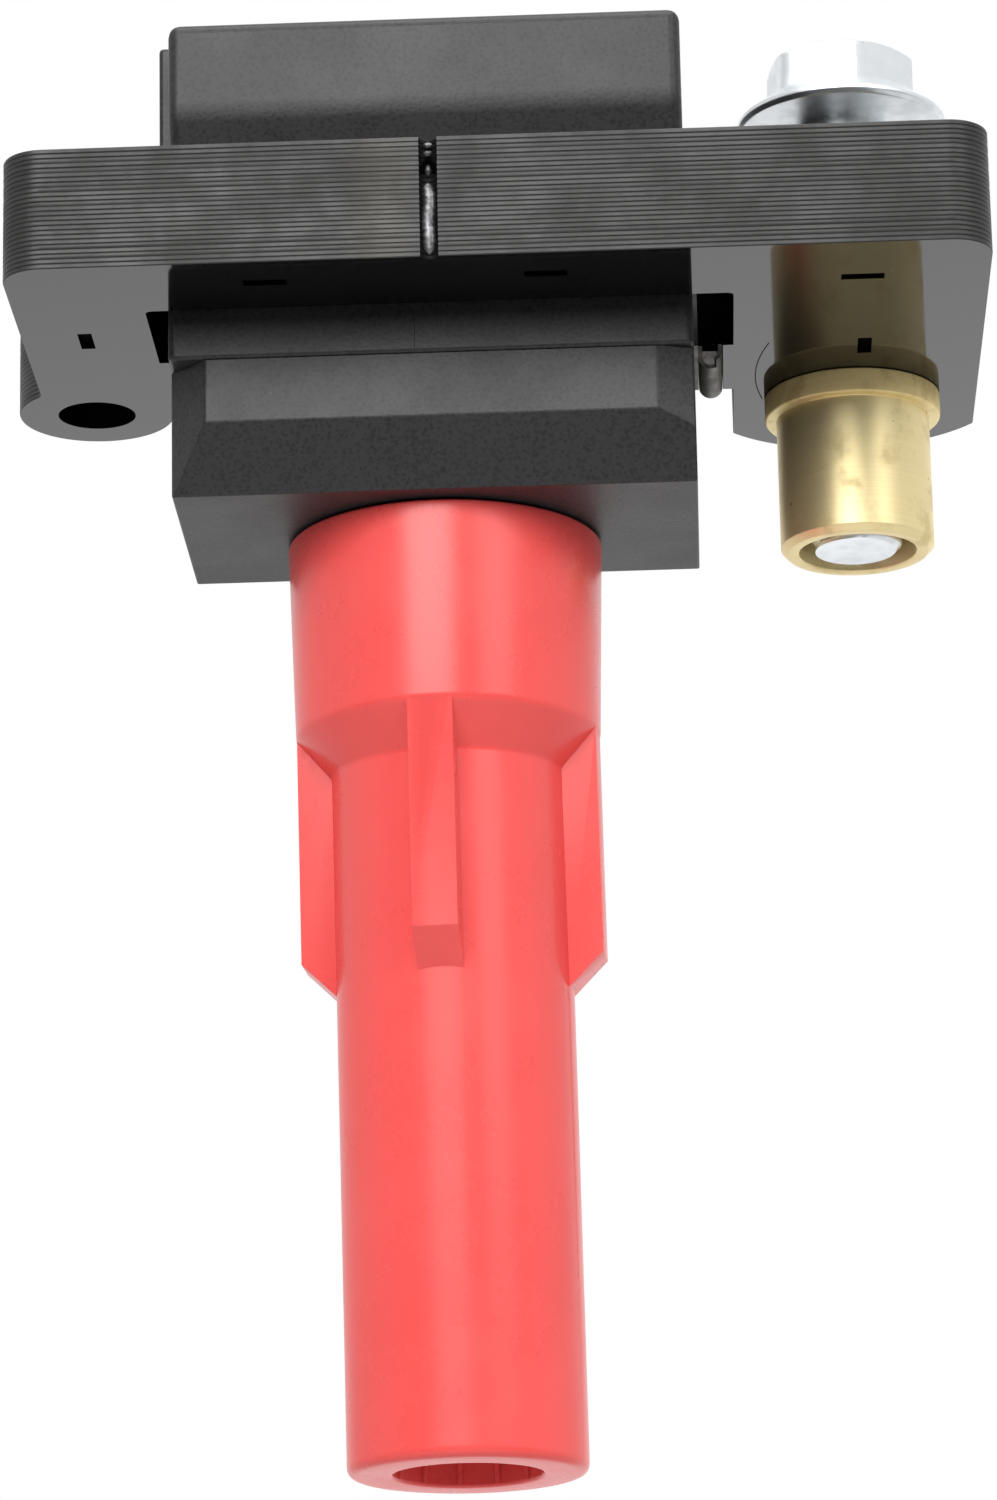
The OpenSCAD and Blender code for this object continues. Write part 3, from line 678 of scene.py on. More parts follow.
def yokeOutline(s):
    x0, x1, front = s["left"], yokeHigh.x, yokeLow.y
    r, back = s["cornerRadius"], yokeLow.y + s["legDepth"]
    outline = arcPoints((x0 + r, front + r), r, 180, 270, 10)
    outline += arcPoints((weldAt, front), s["weldRadius"], 180, 0, 12)
    outline += arcPoints((x1 - r, front + r), r, 270, 360, 10)
    reach = sqrt(max(0, s["rightRadius"] ** 2 - (x1 - spacerAt[0]) ** 2))
    first = degrees(atan2(reach, x1 - spacerAt[0]))
    wide = spacerAt[0] - s["windowRight"]
    last = degrees(atan2(sqrt(s["rightRadius"] ** 2 - wide ** 2), -wide))
    outline += arcPoints(spacerAt, s["rightRadius"], first, last, 40)
    outline += [(s["windowRight"], s["poleBack"]), (s["poleRight"], s["poleBack"]), (s["poleRight"], s["poleFront"]),
                (s["windowRight"], s["poleFront"])]
    corner = s["windowRadius"]
    outline += arcPoints((s["windowRight"] - corner, back + corner), corner, 0, -90, 4)
    outline += arcPoints((s["windowLeft"] + corner, back + corner), corner, -90, -180, 4)
    outline += [(s["windowLeft"], s["poleFront"]), (s["poleLeft"], s["poleFront"]), (s["poleLeft"], s["poleBack"]),
                (s["windowLeft"], s["poleBack"])]
    reach = s["windowLeft"] - earAt[0]
    outline += arcPoints((earAt[0] + reach - s["earFillet"], earAt[1] - s["earFillet"]), s["earFillet"], 0, 20, 2)
    outline += arcPoints(earAt, s["earRadius"], 12, 228, 48)
    outline.append((x0, earAt[1] - s["earRadius"] * 0.76 - 0.4))
    return outline


def pushed(loop, amount, solidOnLeft=True):     # the loop moved into the solid
    made = []
    count = len(loop)
    for i, p in enumerate(loop):
        a, b = Vector(loop[i - 1]), Vector(loop[(i + 1) % count])
        p = Vector(p)
        into = Vector((0, 0))
        for d in (p - a, b - p):
            if d.length > 1e-6:
                d = d.normalized()
                into += Vector((-d.y, d.x)) if solidOnLeft else Vector((d.y, -d.x))
        if into.length > 1e-6:
            into.normalize()
        made.append(p + into * amount)
    return made


def tabLoop(tab, s):
    x, y, turn = tab
    c, n = cos(radians(turn)), sin(radians(turn))
    half, wide = s["tabLength"] / 2, s["tabWidth"] / 2
    return [(x + a * c - b * n, y + a * n + b * c) for a, b in ((-half, -wide), (half, -wide), (half, wide),
                                                                (-half, wide))]


def edgeFinish(s, a, b):            # 1 for outer edges, 2 for the weld groove, darkened as painted shade with some weld scorch, 3 for the window walls, painted black as deep shade
    x, y = (a[0] + b[0]) / 2, (a[1] + b[1]) / 2
    back = yokeLow.y + s["legDepth"]
    inWindow = s["windowLeft"] - 0.1 < x < s["windowRight"] + 0.1 and back + 0.4 < y < s["poleBack"] - 0.05
    inGroove = abs(x - weldAt) < s["weldRadius"] and y < yokeLow.y + s["weldRadius"] + 0.1 and y > yokeLow.y + 0.02
    return 3 if inWindow else 2 if inGroove else 1


def makeYoke(s):
    bm = bmesh.new()
    count = round((yokeHigh.z - yokeLow.z) / sheetPitch)
    pitch = (yokeHigh.z - yokeLow.z) / count
    shifts = [chance.uniform(-1, 1) * s["sheetShift"] for _ in range(count)]
    loops = [yokeOutline(s), arcPoints(earAt, s["earHole"], 0, 360, 64)[:-1],
             arcPoints(spacerAt, s["spacerHole"], 0, 360, 72)[:-1]]
    caps = {"low": [], "high": []}
    for index, loop in enumerate(loops):
        rings = []
        for k in range(count):
            z = yokeLow.z + k * pitch
            shift = max(0, shifts[k]) if index == 0 else 0
            for height, depth in ((0, s["sheetGroove"]), (s["sheetRound"], 0), (pitch - s["sheetRound"], 0),
                                  (pitch, s["sheetGroove"])):
                if rings and height == 0:
                    continue
                points = pushed(loop, shift + depth, solidOnLeft=index == 0)
                rings.append([bm.verts.new((p.x, p.y, z + height)) for p in points])
        total = len(loop)
        for a, b in zip(rings, rings[1:]):
            for i in range(total):
                j = (i + 1) % total
                # the walls of both holes take the black of painted shade
                shade = edgeFinish(s, loop[i], loop[j]) if index == 0 else 3
                bm.faces.new((a[i], a[j], b[j], b[i])).material_index = shade
        for side, ring in (("low", rings[0]), ("high", rings[-1])):
            caps[side] += [bm.edges.get((ring[i], ring[(i + 1) % total])) for i in range(total)]
    for tab in s["tabs"]:           # stamped pockets in the underside, their walls and floors painted black as shade
        corners = tabLoop(tab, s)
        rim = [bm.verts.new((x, y, yokeLow.z)) for x, y in corners]
        floor = [bm.verts.new((x, y, yokeLow.z + s["tabDepth"])) for x, y in corners]
        for i in range(4):
            j = (i + 1) % 4
            bm.faces.new((rim[i], rim[j], floor[j], floor[i])).material_index = 3
            caps["low"].append(bm.edges.get((rim[i], rim[j])))
        bm.faces.new(floor).material_index = 3
    for edges in caps.values():
        bmesh.ops.triangle_fill(bm, use_beauty=True, use_dissolve=False, edges=edges)
    return newPiece("laminatedYoke", bm, ["varnish", "sheetEdges", "sheetShade", "pocket"],
                    stands=["core_yoke"], sharp=28)


def makeCoreBar(s):
    low, high = boxOf("core_bar")
    bm = bmesh.new()
    count = round((high.z - low.z) / sheetPitch)
    pitch = (high.z - low.z) / count
    rings = []
    for k in range(count):
        for height, depth in ((0, s["sheetGroove"]), (s["sheetRound"], 0), (pitch - s["sheetRound"], 0),
                              (pitch, s["sheetGroove"])):
            if rings and height == 0:
                continue
            x0, x1, y0, y1 = low.x + depth, high.x - depth, low.y + depth, high.y - depth
            rings.append([bm.verts.new((x, y, low.z + k * pitch + height)) for x, y in
                          ((x0, y0), (x1, y0), (x1, y1), (x0, y1))])
    for a, b in zip(rings, rings[1:]):
        for i in range(4):
            bm.faces.new((a[i], a[(i + 1) % 4], b[(i + 1) % 4], b[i])).material_index = 1
    bm.faces.new(rings[0])
    bm.faces.new(rings[-1])
    return newPiece("laminatedBar", bm, ["varnish", "sheetEdges"], stands=["core_bar"], sharp=28)


scribeSet = {"centre": (55.26, 1.21), "radius": 28.03, "start": 167.9, "end": 196.4, "line": 0.045}


def makeScribedLine(s):             # a fine dark arc beside the spacer's collar
    bm = bmesh.new()
    arc = arcPoints(s["centre"], s["radius"], s["start"], s["end"], 16)
    addTube(bm, [(x, y, yokeLow.z) for x, y in arc], s["line"], 6)
    return newPiece("scribedLine", bm, "pocket")


makeYoke(yoke)
makeCoreBar(yoke)
makeScribedLine(scribeSet)
print("stage: core")


# Weld in the front groove

weldSet = {
    "halfWidth": 0.58, "proud": 0.46, "ripple": 0.02, "ripplePitch": 0.6, "craterHeight": 0.74, "rows": 110,
}


def makeWeld(s):
    low, high = boxOf("weld_bead")
    bm = bmesh.new()
    middle = (low.x + high.x) / 2
    deep = yokeLow.y + yoke["weldRadius"] - 0.1
    top = yokeLow.z + (yokeHigh.z - yokeLow.z) * (s["craterHeight"] - 0.1)
    rows = []
    for r in range(s["rows"] + 1):
        t = r / s["rows"]
        z = low.z + (top - low.z) * t
        swell = (1 - (2 * t - 1) ** 12) * (1 + 0.1 * noise.noise(Vector((0, 0, z * 1.1))))
        wave = abs(((z / s["ripplePitch"]) % 1) - 0.5) * 2
        row = []
        for k in range(13):
            a = pi * k / 12
            arch = z + 0.3 * sin(a) - 0.15
            lump = s["ripple"] * (abs(((arch / s["ripplePitch"]) % 1) - 0.5) * 2 - 0.5)
            width = s["halfWidth"] * swell * (1 + 0.12 * (wave - 0.5))
            row.append(bm.verts.new((middle + 0.04 * sin(z * 1.7) - width * cos(a),
                                     deep - (s["proud"] + lump) * swell * sin(a), z)))
        rows.append(row)
    for a, b in zip(rows, rows[1:]):
        for k in range(12):
            bm.faces.new((a[k], a[k + 1], b[k + 1], b[k]))
    for a, b in zip(rows, rows[1:]):
        bm.faces.new((a[-1], a[0], b[0], b[-1]))
    bm.faces.new(list(reversed(rows[0])))
    bm.faces.new(rows[-1])
    centre = yokeLow.z + (yokeHigh.z - yokeLow.z) * s["craterHeight"]
    for height, width, tall in ((centre, 0.3, 0.52), (centre + 1.45, 0.42, 0.3), (centre + 2.2, 0.46, 0.26)):
        ball = bmesh.ops.create_icosphere(bm, subdivisions=3, radius=1)["verts"]     # drops at the weld's start
        for v in ball:
            bump = 1 + 0.12 * noise.noise(v.co * 2.3 + Vector((0, 0, height)))
            v.co = Vector((middle + v.co.x * width * bump, deep + 0.05 + v.co.y * 0.36 * bump, height + v.co.z * tall))
    # a black ring round the crater: painted shade of the crater's pit, partly weld scorch
    before = len(bm.faces)
    arch = [(middle + 0.5 * cos(a), deep - 0.22, centre - 0.3 + 1.15 * sin(a))
            for a in (pi * k / 16 for k in range(17))]
    addTube(bm, arch, 0.17, 8)
    bm.faces.ensure_lookup_table()
    for face in bm.faces[before:]:
        face.material_index = 1
    return newPiece("weldBead", bm, ["weld", "pocket"], stands=["weld_bead"], sharp=60)


makeWeld(weldSet)


# Case

caseSet = {
    "slopeDepth": 2.9, "slopeHeight": 5.5, "backSlopeDepth": 8.0, "backSlopeHeight": 7.0,
    "leftFacet": 3.1, "rightFacet": (3.1, 0.8),
    "edge": 0.75, "seamEdge": 0.32,
    "wall": 1.5, "rimDepth": 1.3,
    "neckFront": 0.2,
    "blockLeft": -21.9, "blockRight": 21.5, "overhang": 2.9, "overhangHeight": 32.4, "bandLean": 2.3,
    "blockEdge": 1.0, "shoulderLeft": -23.1, "shoulderFront": -16.1,
    "towerRadius": 8.0, "towerBore": 3.2,
}
caseLow, caseHigh = boxOf("lower_case")
upperLow, upperHigh = boxOf("upper_case")
towerLow = caseLow.z
seamHeight = upperLow.z
caseFloor = seamHeight - 11.1
caseLeft, caseRight = caseLow.x, caseHigh.x
caseFront, caseBack = caseLow.y, caseHigh.y
caseTop = upperHigh.z


def setWeights(bm, chooser):
    layer = bm.edges.layers.float.new("bevel_weight_edge")
    for edge in bm.edges:
        edge[layer] = chooser(edge) if len(edge.link_faces) == 2 and edge.calc_face_angle(0) > 0.12 else 0.0


def makeLowerCase(s):
    bm = bmesh.new()
    addBox(bm, (caseLeft, caseFront, caseFloor), (caseRight, caseBack, seamHeight))
    planeOff(bm, (0, caseFront, caseFloor + s["slopeHeight"]), (0, -s["slopeHeight"], -s["slopeDepth"]))
    planeOff(bm, (0, caseBack, caseFloor + s["backSlopeHeight"]), (0, s["backSlopeHeight"], -s["backSlopeDepth"]))
    planeOff(bm, (caseLeft + s["leftFacet"], caseFront, 0), (-1, -1, 0))
    wide, deep = s["rightFacet"]
    planeOff(bm, (caseRight - wide, caseFront, 0), (deep, -wide, 0))
    bmesh.ops.dissolve_limit(bm, angle_limit=radians(0.5), verts=bm.verts, edges=bm.edges)
    top = seamHeight - 0.01
    setWeights(bm, lambda e: s["seamEdge"] / s["edge"] if all(v.co.z > top for v in e.verts) else 1.0)
    block = soften(newPiece("lowerCaseBlock", bm, "case", stands=["lower_case"]),
                   s["edge"], 4, weighted=True)
    tower = bmesh.new()
    r, bore = s["towerRadius"], s["towerBore"]
    addLathe(tower, roundProfile([(bore, towerLow), (r, towerLow), (r, caseFloor + 0.5), (bore, caseFloor + 0.5)],
                                 [0.3, 0.8, 0, 0]), steps=96)
    for height in (7.0, 9.4):       # two low ribs that hold the boot on
        addLathe(tower, [(r - 0.2, towerLow + height - 0.5), (r + 0.04, towerLow + height),
                         (r - 0.2, towerLow + height + 0.5)],
                 steps=96)
    newPiece("caseTower", tower, "case")
    return block


def makeUpperCase(s):
    neck = bmesh.new()
    addBox(neck, (max(upperLow.x, caseLeft), caseFront - s["neckFront"], seamHeight),
           (caseRight, caseBack, yokeHigh.z + 0.1))
    foot = seamHeight + 0.01
    setWeights(neck, lambda e: 1.0 if all(v.co.z < foot for v in e.verts) else 2.0)
    soften(newPiece("upperCaseNeck", neck, "case", stands=["upper_case"]), s["seamEdge"],
           3, weighted=True)
    block = bmesh.new()
    front = caseFront - s["overhang"]
    profile = [(front, caseFloor + s["overhangHeight"]), (front + s["bandLean"], yokeHigh.z + 0.1),
               (caseBack, yokeHigh.z + 0.1), (caseBack, caseTop), (front, caseTop)]
    addPrism(block, profile, s["blockLeft"], s["blockRight"], "X")
    bmesh.ops.recalc_face_normals(block, faces=block.faces)
    top = max(block.faces, key=lambda f: f.calc_center_median().z)
    bmesh.ops.inset_region(block, faces=[top], thickness=s["wall"], use_even_offset=True)
    low = bmesh.ops.extrude_face_region(block, geom=[top])["geom"]
    bmesh.ops.translate(block, vec=(0, 0, -s["rimDepth"]), verts=[v for v in low if isinstance(v, bmesh.types.BMVert)])
    if top.is_valid:
        bmesh.ops.delete(block, geom=[top], context="FACES_ONLY")
    bmesh.ops.remove_doubles(block, verts=block.verts, dist=1e-4)
    inner = caseTop - s["rimDepth"] + 0.01
    rim = caseTop - 0.01

    def weight(edge):
        heights = [v.co.z for v in edge.verts]
        if max(heights) < inner and min(heights) > inner - 0.1:
            return 0.0
        side = all(min(abs(v.co.x - s["blockLeft"]), abs(v.co.x - s["blockRight"])) < 0.01 for v in edge.verts)
        return 0.4 if min(heights) > rim and not side else 1.0
    setWeights(block, weight)
    soften(newPiece("upperCaseBlock", block, "case"), s["blockEdge"], 4, weighted=True)
    shoulder = bmesh.new()
    addBox(shoulder, (s["shoulderLeft"], s["shoulderFront"], yokeHigh.z + 0.1),
           (s["blockLeft"] + 0.6, caseBack - 0.02, caseTop - 0.02))
    soften(newPiece("caseShoulder", shoulder, "case"), 0.35, 3)


makeLowerCase(caseSet)
makeUpperCase(caseSet)
print("stage: case")


# Resin fill and the parting line on the neck

def makeResinMeniscus():            # the resin creeps up the walls
    low, high = boxOf("potting_resin")
    bm = bmesh.new()
    left, right = caseSet["blockLeft"] + caseSet["wall"], caseSet["blockRight"] - caseSet["wall"]
    front, back = caseFront - caseSet["overhang"] + caseSet["wall"], caseBack - caseSet["wall"]
    rows = []
    for inset, rise in ((0.0, 0.42), (0.12, 0.2), (0.35, 0.07), (0.8, 0.015), (1.4, 0.004)):
        rows.append([bm.verts.new((x, y, high.z + rise)) for x, y in
                     ((left + inset, front + inset), (right - inset, front + inset), (right - inset, back - inset),
                      (left + inset, back - inset))])
    joinRings(bm, rows)
    bm.faces.new(rows[-1])
    foot = [bm.verts.new((v.co.x, v.co.y, high.z - 0.4)) for v in rows[0]]
    joinRings(bm, [rows[0], foot])
    bm.faces.new(foot)
    return newPiece("resinSurface", bm, "resin", sharp=50)


def makePartingLine():
    bm = bmesh.new()
    front = caseFront - caseSet["neckFront"]
    outline = [(-1.55, front + 0.1), (-1.47, front - 0.035), (-1.39, front + 0.1)]
    addPrism(bm, outline, seamHeight + 0.35, yokeLow.z + 0.2)
    return newPiece("caseFlashLine", bm, "case")


makeResinMeniscus()
makePartingLine()


# Spring clip beside the magnet

clipSet = {
    "thickness": 0.36, "edge": 0.07,
    "frontGap": 1.7, "backGap": 3.2, "sideHeight": 5.5,             # where the bent strip starts, ends and rises to
    "wallFrom": 8.6, "wallTo": 9.0,
    "lipTurns": 0.7, "lipRadius": 0.42, "lipWire": 0.17, "lipLift": 1.6,
    "shadeFrom": -7.41, "shadeSlope": 0.3,
}


def makeClip(s):
    low, high = boxOf("core_clip")
    bm = bmesh.new()
    half, t = (high.x - low.x) / 2 - 0.02, s["thickness"]
    middle = (low.x + high.x) / 2
    bend = low.z + half
    outer = [(middle - half, high.z)] + arcPoints((middle, bend), half, 180, 360, 14) + [(middle + half, high.z)]
    inner = [(middle + half - t, high.z)] + arcPoints((middle, bend), half - t, 360, 180,
                                                      14) + [(middle - half + t, high.z)]
    addPrism(bm, outer + inner, low.y + s["frontGap"], high.y - s["backGap"], "Y")
    rise = bend + s["sideHeight"]
    addPrism(bm, [(middle + half - t, rise)] + arcPoints((middle, bend), half - t, 360, 300, 5) +
             arcPoints((middle, bend), half, 300, 360, 5) + [(middle + half,
                                                              rise)], low.y, low.y + s["frontGap"] + 0.02, "Y")
    for x, turn in ((middle - half * 0.35, 1), (middle + half * 0.2, -1)):      # the rolled ends that face forward
        path = [(x + turn * s["lipRadius"] * cos(a) * 0.5, low.y + 1.0 - 0.9 * k / 12,
                 bend + s["lipLift"] + turn * 0.5 + s["lipRadius"] * sin(a))
                for k, a in ((k, 2 * pi * s["lipTurns"] * k / 12) for k in range(13))]
        addTube(bm, path, s["lipWire"], 8)
    addBox(bm, (middle - half, low.y + s["wallFrom"], bend), (middle + half, low.y + s["wallTo"], high.z))
    bmesh.ops.bisect_plane(bm, geom=bm.verts[:] + bm.edges[:] + bm.faces[:], plane_no=(0, -s["shadeSlope"], 1),
                           plane_co=(0, s["shadeFrom"], yokeLow.z))
    for face in bm.faces:           # what lies up inside the window is in deep shade
        at = face.calc_center_median()
        face.material_index = 1 if at.z > yokeLow.z + s["shadeSlope"] * (at.y - s["shadeFrom"]) else 0
    clip = newPiece("wedgeClip", bm, ["springSteel", "pocket"], stands=["core_clip"])
    return soften(clip, s["edge"], 2)


makeClip(clipSet)
print("stage: resin and clip")


# Plug boot

bootSet = {
    "tube": 10.0, "collarTop": 13.5, "collarBottom": 13.0, "collarLength": 17.2, "cone": 3.5,
    "fin": 12.8, "finThickness": 3.8, "finLength": 19.6, "finTurn": -4.5,
    "mouth": 6.2, "mouthDepth": 6.0, "bore": 5.3, "boreEnd": 30.0, "channel": 4.2, "socket": 8.05,
    "ribs": 12,
    "lean": 0.58, "leanTop": 58.0, "leanEnd": 21.0,     # soft bend of the relaxed tube towards +X
}


def leanBoot(piece, s):
    for v in piece.data.vertices:
        t = max(0, min(1, (s["leanTop"] - v.co.z / mm) / (s["leanTop"] - s["leanEnd"])))
        v.co.x += s["lean"] * mm * t * t * (3 - 2 * t)


def makeBoot(s):
    low, high = boxOf("plug_boot")
    top = high.z
    collar = top - s["collarLength"]
    socketEnd = towerLow - 1.6
    points = [(s["mouth"], low.z), (s["tube"], low.z), (s["tube"], collar - s["cone"]), (s["collarBottom"], collar),
              (s["collarTop"], top), (s["socket"], top), (s["socket"], socketEnd), (s["channel"], socketEnd),
              (s["channel"], s["boreEnd"]), (s["bore"], s["boreEnd"]), (s["bore"], s["mouthDepth"] + 1),
              (s["mouth"], s["mouthDepth"])]
    radii = [0.35, 0.9, 0.7, 1.2, 0.28, 0.4, 0.3, 0.3, 0.3, 0.4, 0.3, 0.3]
    bm = bmesh.new()
    addLathe(bm, roundProfile(points, radii, 5), steps=144)
    boot = newPiece("plugBoot", bm, "boot", "boot", ["plug_boot"], sharp=40)
    fins = bmesh.new()
    reach, thick = s["fin"], s["finThickness"] / 2
    foot = collar - s["finLength"]
    step = reach - s["tube"]
    for k in range(4):
        outline = [(s["tube"] - 0.8, foot - step - 0.8), (reach, foot), (reach, collar + 0.5),
                   (s["tube"] - 0.8, collar + 0.5)]
        made = addPrism(fins, outline, -thick, thick, "Y")
        bmesh.ops.rotate(fins, cent=(0, 0, 0), verts=made,
                         matrix=Matrix.Rotation(radians(s["finTurn"] + 90 * k), 3, "Z"))
    helper = newPiece("bootFins", fins, "boot", "boot")
    join = boot.modifiers.new("fins", "BOOLEAN")
    join.operation, join.object, join.solver = "UNION", helper, "EXACT"
    settle(boot)
    bpy.data.objects.remove(helper)
    bevel = boot.modifiers.new("softEdges", "BEVEL")
    bevel.width, bevel.segments, bevel.limit_method, bevel.angle_limit = 0.3 * mm, 3, "ANGLE", radians(38)
    settle(boot)
    for face in boot.data.polygons:
        face.use_smooth = True
    boot.data.set_sharp_from_angle(angle=radians(46))
    leanBoot(boot, s)
    ribs = bmesh.new()              # small ribs inside the mouth
    for k in range(s["ribs"]):
        a = 2 * pi * (k + 0.3) / s["ribs"]
        out = Vector((cos(a), sin(a), 0))
        path = [out * (s["mouth"] + 0.08 - 0.32 * sin(pi * t)) + Vector((0, 0, 0.25 + 4.6 * t))
                for t in (0, 0.15, 0.4, 0.7, 1)]
        addTube(ribs, path, 0.24, 8)
    leanBoot(newPiece("mouthRibs", ribs, "boot", "boot"), s)
    return boot


makeBoot(bootSet)
print("stage: boot")


# Spacer sleeve

sleeveSet = {"tube": 6.7, "collar": 7.7, "bore": 5.1, "collarHeight": 2.2, "footChamfer": 0.55}


def makeSleeve(s):
    low, high = boxOf("spacer_sleeve")
    under = yokeLow.z
    step = s["footChamfer"]
    points = [(s["bore"], low.z), (s["tube"] - step, low.z), (s["tube"], low.z + step),
              (s["tube"], under - s["collarHeight"]),
              (s["collar"], under - s["collarHeight"]), (s["collar"], under - 0.02), (s["tube"] - 0.02, under - 0.02),
              (s["tube"] - 0.02, high.z), (s["bore"], high.z)]
    radii = [0.3, 0.12, 0.15, 0.12, 0.28, 0.2, 0, 0.3, 0.3]
    bm = bmesh.new()
    addLathe(bm, roundProfile(points, radii, 3), spacerAt, steps=128)
    # the collar's outer faces get the brass brightened with painted light
    for face in bm.faces:
        middle = face.calc_center_median()
        far = (middle.xy - Vector(spacerAt)).length
        face.material_index = 1 if far > s["tube"] + 0.3 and under - s["collarHeight"] + 0.05 < middle.z < under else 0
    return newPiece("spacerSleeve", bm, ["spacerBrass", "collarBrassPaintedLight"],
                    stands=["spacer_sleeve"], sharp=32)


makeSleeve(sleeveSet)


# Flange bolt and its retaining ring

boltSet = {
    "shank": 4.0, "pitch": 1.25, "threadLength": 24.0, "threadDepth": 0.62,
    "hexFlats": 12.0, "hexTurn": -90 + 11, "flange": 9.3, "rim": 0.7, "cone": 1.9, "hexHeight": 3.9, "tip": 0.3,
}


def makeBolt(s):
    low, high = boxOf("mounting_bolt")
    flangeZ = high.z - s["rim"] - s["cone"] - s["hexHeight"]
    bm = bmesh.new()
    hexReach = s["hexFlats"] / sqrt(3)
    start = low.z + s["tip"]
    threadTop = low.z + s["threadLength"]
    steps, turns = 48, int(s["threadLength"] / s["pitch"])
    rows = []
    heights = [low.z, low.z + 0.02] + [start + (threadTop - start) * k / (turns * 10) for k in range(turns * 10 + 1)]
    for z in heights:
        row = []
        for k in range(steps):
            a = 2 * pi * k / steps
            phase = ((z - low.z) / s["pitch"] - a / (2 * pi)) % 1
            tooth = max(0, min(1, (abs(phase - 0.5) * 2 - 0.12) / 0.76))      # 0 at the crest, 1 at the root
            r = s["shank"] - s["threadDepth"] * tooth
            if z > threadTop - 1.2:
                r = r + (s["shank"] - r) * (z - threadTop + 1.2) / 1.2
            r = min(r, s["shank"] - s["tip"] * 1.3 * max(0, (start + 0.6 - z) / 1.2)) if z < start + 0.6 else r
            row.append(bm.verts.new((spacerAt[0] + r * cos(a), spacerAt[1] + r * sin(a), z)))
        rows.append(row)
    for z in (flangeZ - 0.6, flangeZ + 0.1):
        rows.append([bm.verts.new((spacerAt[0] + s["shank"] * cos(2 * pi * k / steps),
                                   spacerAt[1] + s["shank"] * sin(2 * pi * k / steps), z)) for k in range(steps)])
    joinRings(bm, rows)
    dish = [bm.verts.new((spacerAt[0] + 2.2 * cos(2 * pi * k / steps),
                          spacerAt[1] + 2.2 * sin(2 * pi * k / steps), low.z + 0.06))
            for k in range(steps)]
    joinRings(bm, [dish, rows[0]])
    bm.faces.new(dish)
    bm.faces.new(rows[-1])
    coneTop = flangeZ + s["rim"] + s["cone"]
    flange = [(0.5, flangeZ), (s["flange"] - 0.35, flangeZ), (s["flange"], flangeZ + 0.35),
              (s["flange"], flangeZ + s["rim"]),
              (hexReach * 0.98, coneTop), (0.5, coneTop)]
    addLathe(bm, roundProfile(flange, [0, 0.25, 0.25, 0.3, 0.7, 0], 4), spacerAt, steps=144)
    corners = 6 * 16
    hexRows = []
    headTop = coneTop + s["hexHeight"]
    levels = [flangeZ + 0.5, coneTop + 0.4] + [headTop - d for d in (1.2, 0.8, 0.7, 0.6, 0.5, 0.4, 0.3, 0.2, 0.1, 0.0)]
    for z in levels:
        row = []
        cap = s["hexFlats"] / 2 * 0.95 + (headTop - z) * 1.73      # the 30 degree chamfer
        for k in range(corners):
            a = 2 * pi * k / corners
            side = (a % (pi / 3)) - pi / 6
            r = min(s["hexFlats"] / 2 / cos(side), cap, hexReach * 0.985)
            turned = a + radians(s["hexTurn"])
            row.append(bm.verts.new((spacerAt[0] + r * cos(turned), spacerAt[1] + r * sin(turned), z)))
        hexRows.append(row)
    joinRings(bm, hexRows)
    ring = [bm.verts.new((v.co.x * 0.9 + spacerAt[0] * 0.1, v.co.y * 0.9 + spacerAt[1] * 0.1, v.co.z))
            for v in hexRows[-1]]
    cup = [bm.verts.new((v.co.x * 0.55 + spacerAt[0] * 0.45, v.co.y * 0.55 + spacerAt[1] * 0.45, v.co.z - 0.35))
           for v in hexRows[-1]]
    joinRings(bm, [hexRows[-1], ring, cup])
    bm.faces.new(cup)
    bm.faces.new(list(reversed(hexRows[0])))
    return newPiece("flangeBolt", bm, "zinc", "bolt", ["mounting_bolt"], sharp=24)


ringSet = {"bore": 4.06}


def makeRing(s):
    low, high = boxOf("bolt_retainer")
    outer = (high.x - low.x) / 2
    bm = bmesh.new()
    addLathe(bm, roundProfile([(s["bore"], low.z), (outer, low.z), (outer, high.z), (s["bore"], high.z)],
                              [0.3, 0.7, 0.7, 0.3]),
             spacerAt, steps=96)
    return newPiece("retainingRing", bm, "rubber", "bolt_ring", ["bolt_retainer"], sharp=50)


makeBolt(boltSet)
makeRing(ringSet)
print("stage: spacer and bolt")


# Connector socket and its blades

socketSet = {"inside": (20.0, 10.4), "wall": 1.5, "length": 18.0, "cornerRadius": 1.6, "bladePitch": 5.6,
             "blade": (2.3, 0.8)}


def roundedBox(x, z, halfWide, halfTall, r, steps=5):
    outline = []
    for cx, cz, start in ((1, 1, 0), (-1, 1, 90), (-1, -1, 180), (1, -1, 270)):
        outline += arcPoints((x + cx * (halfWide - r), z + cz * (halfTall - r)), r, start, start + 90, steps)
    return outline


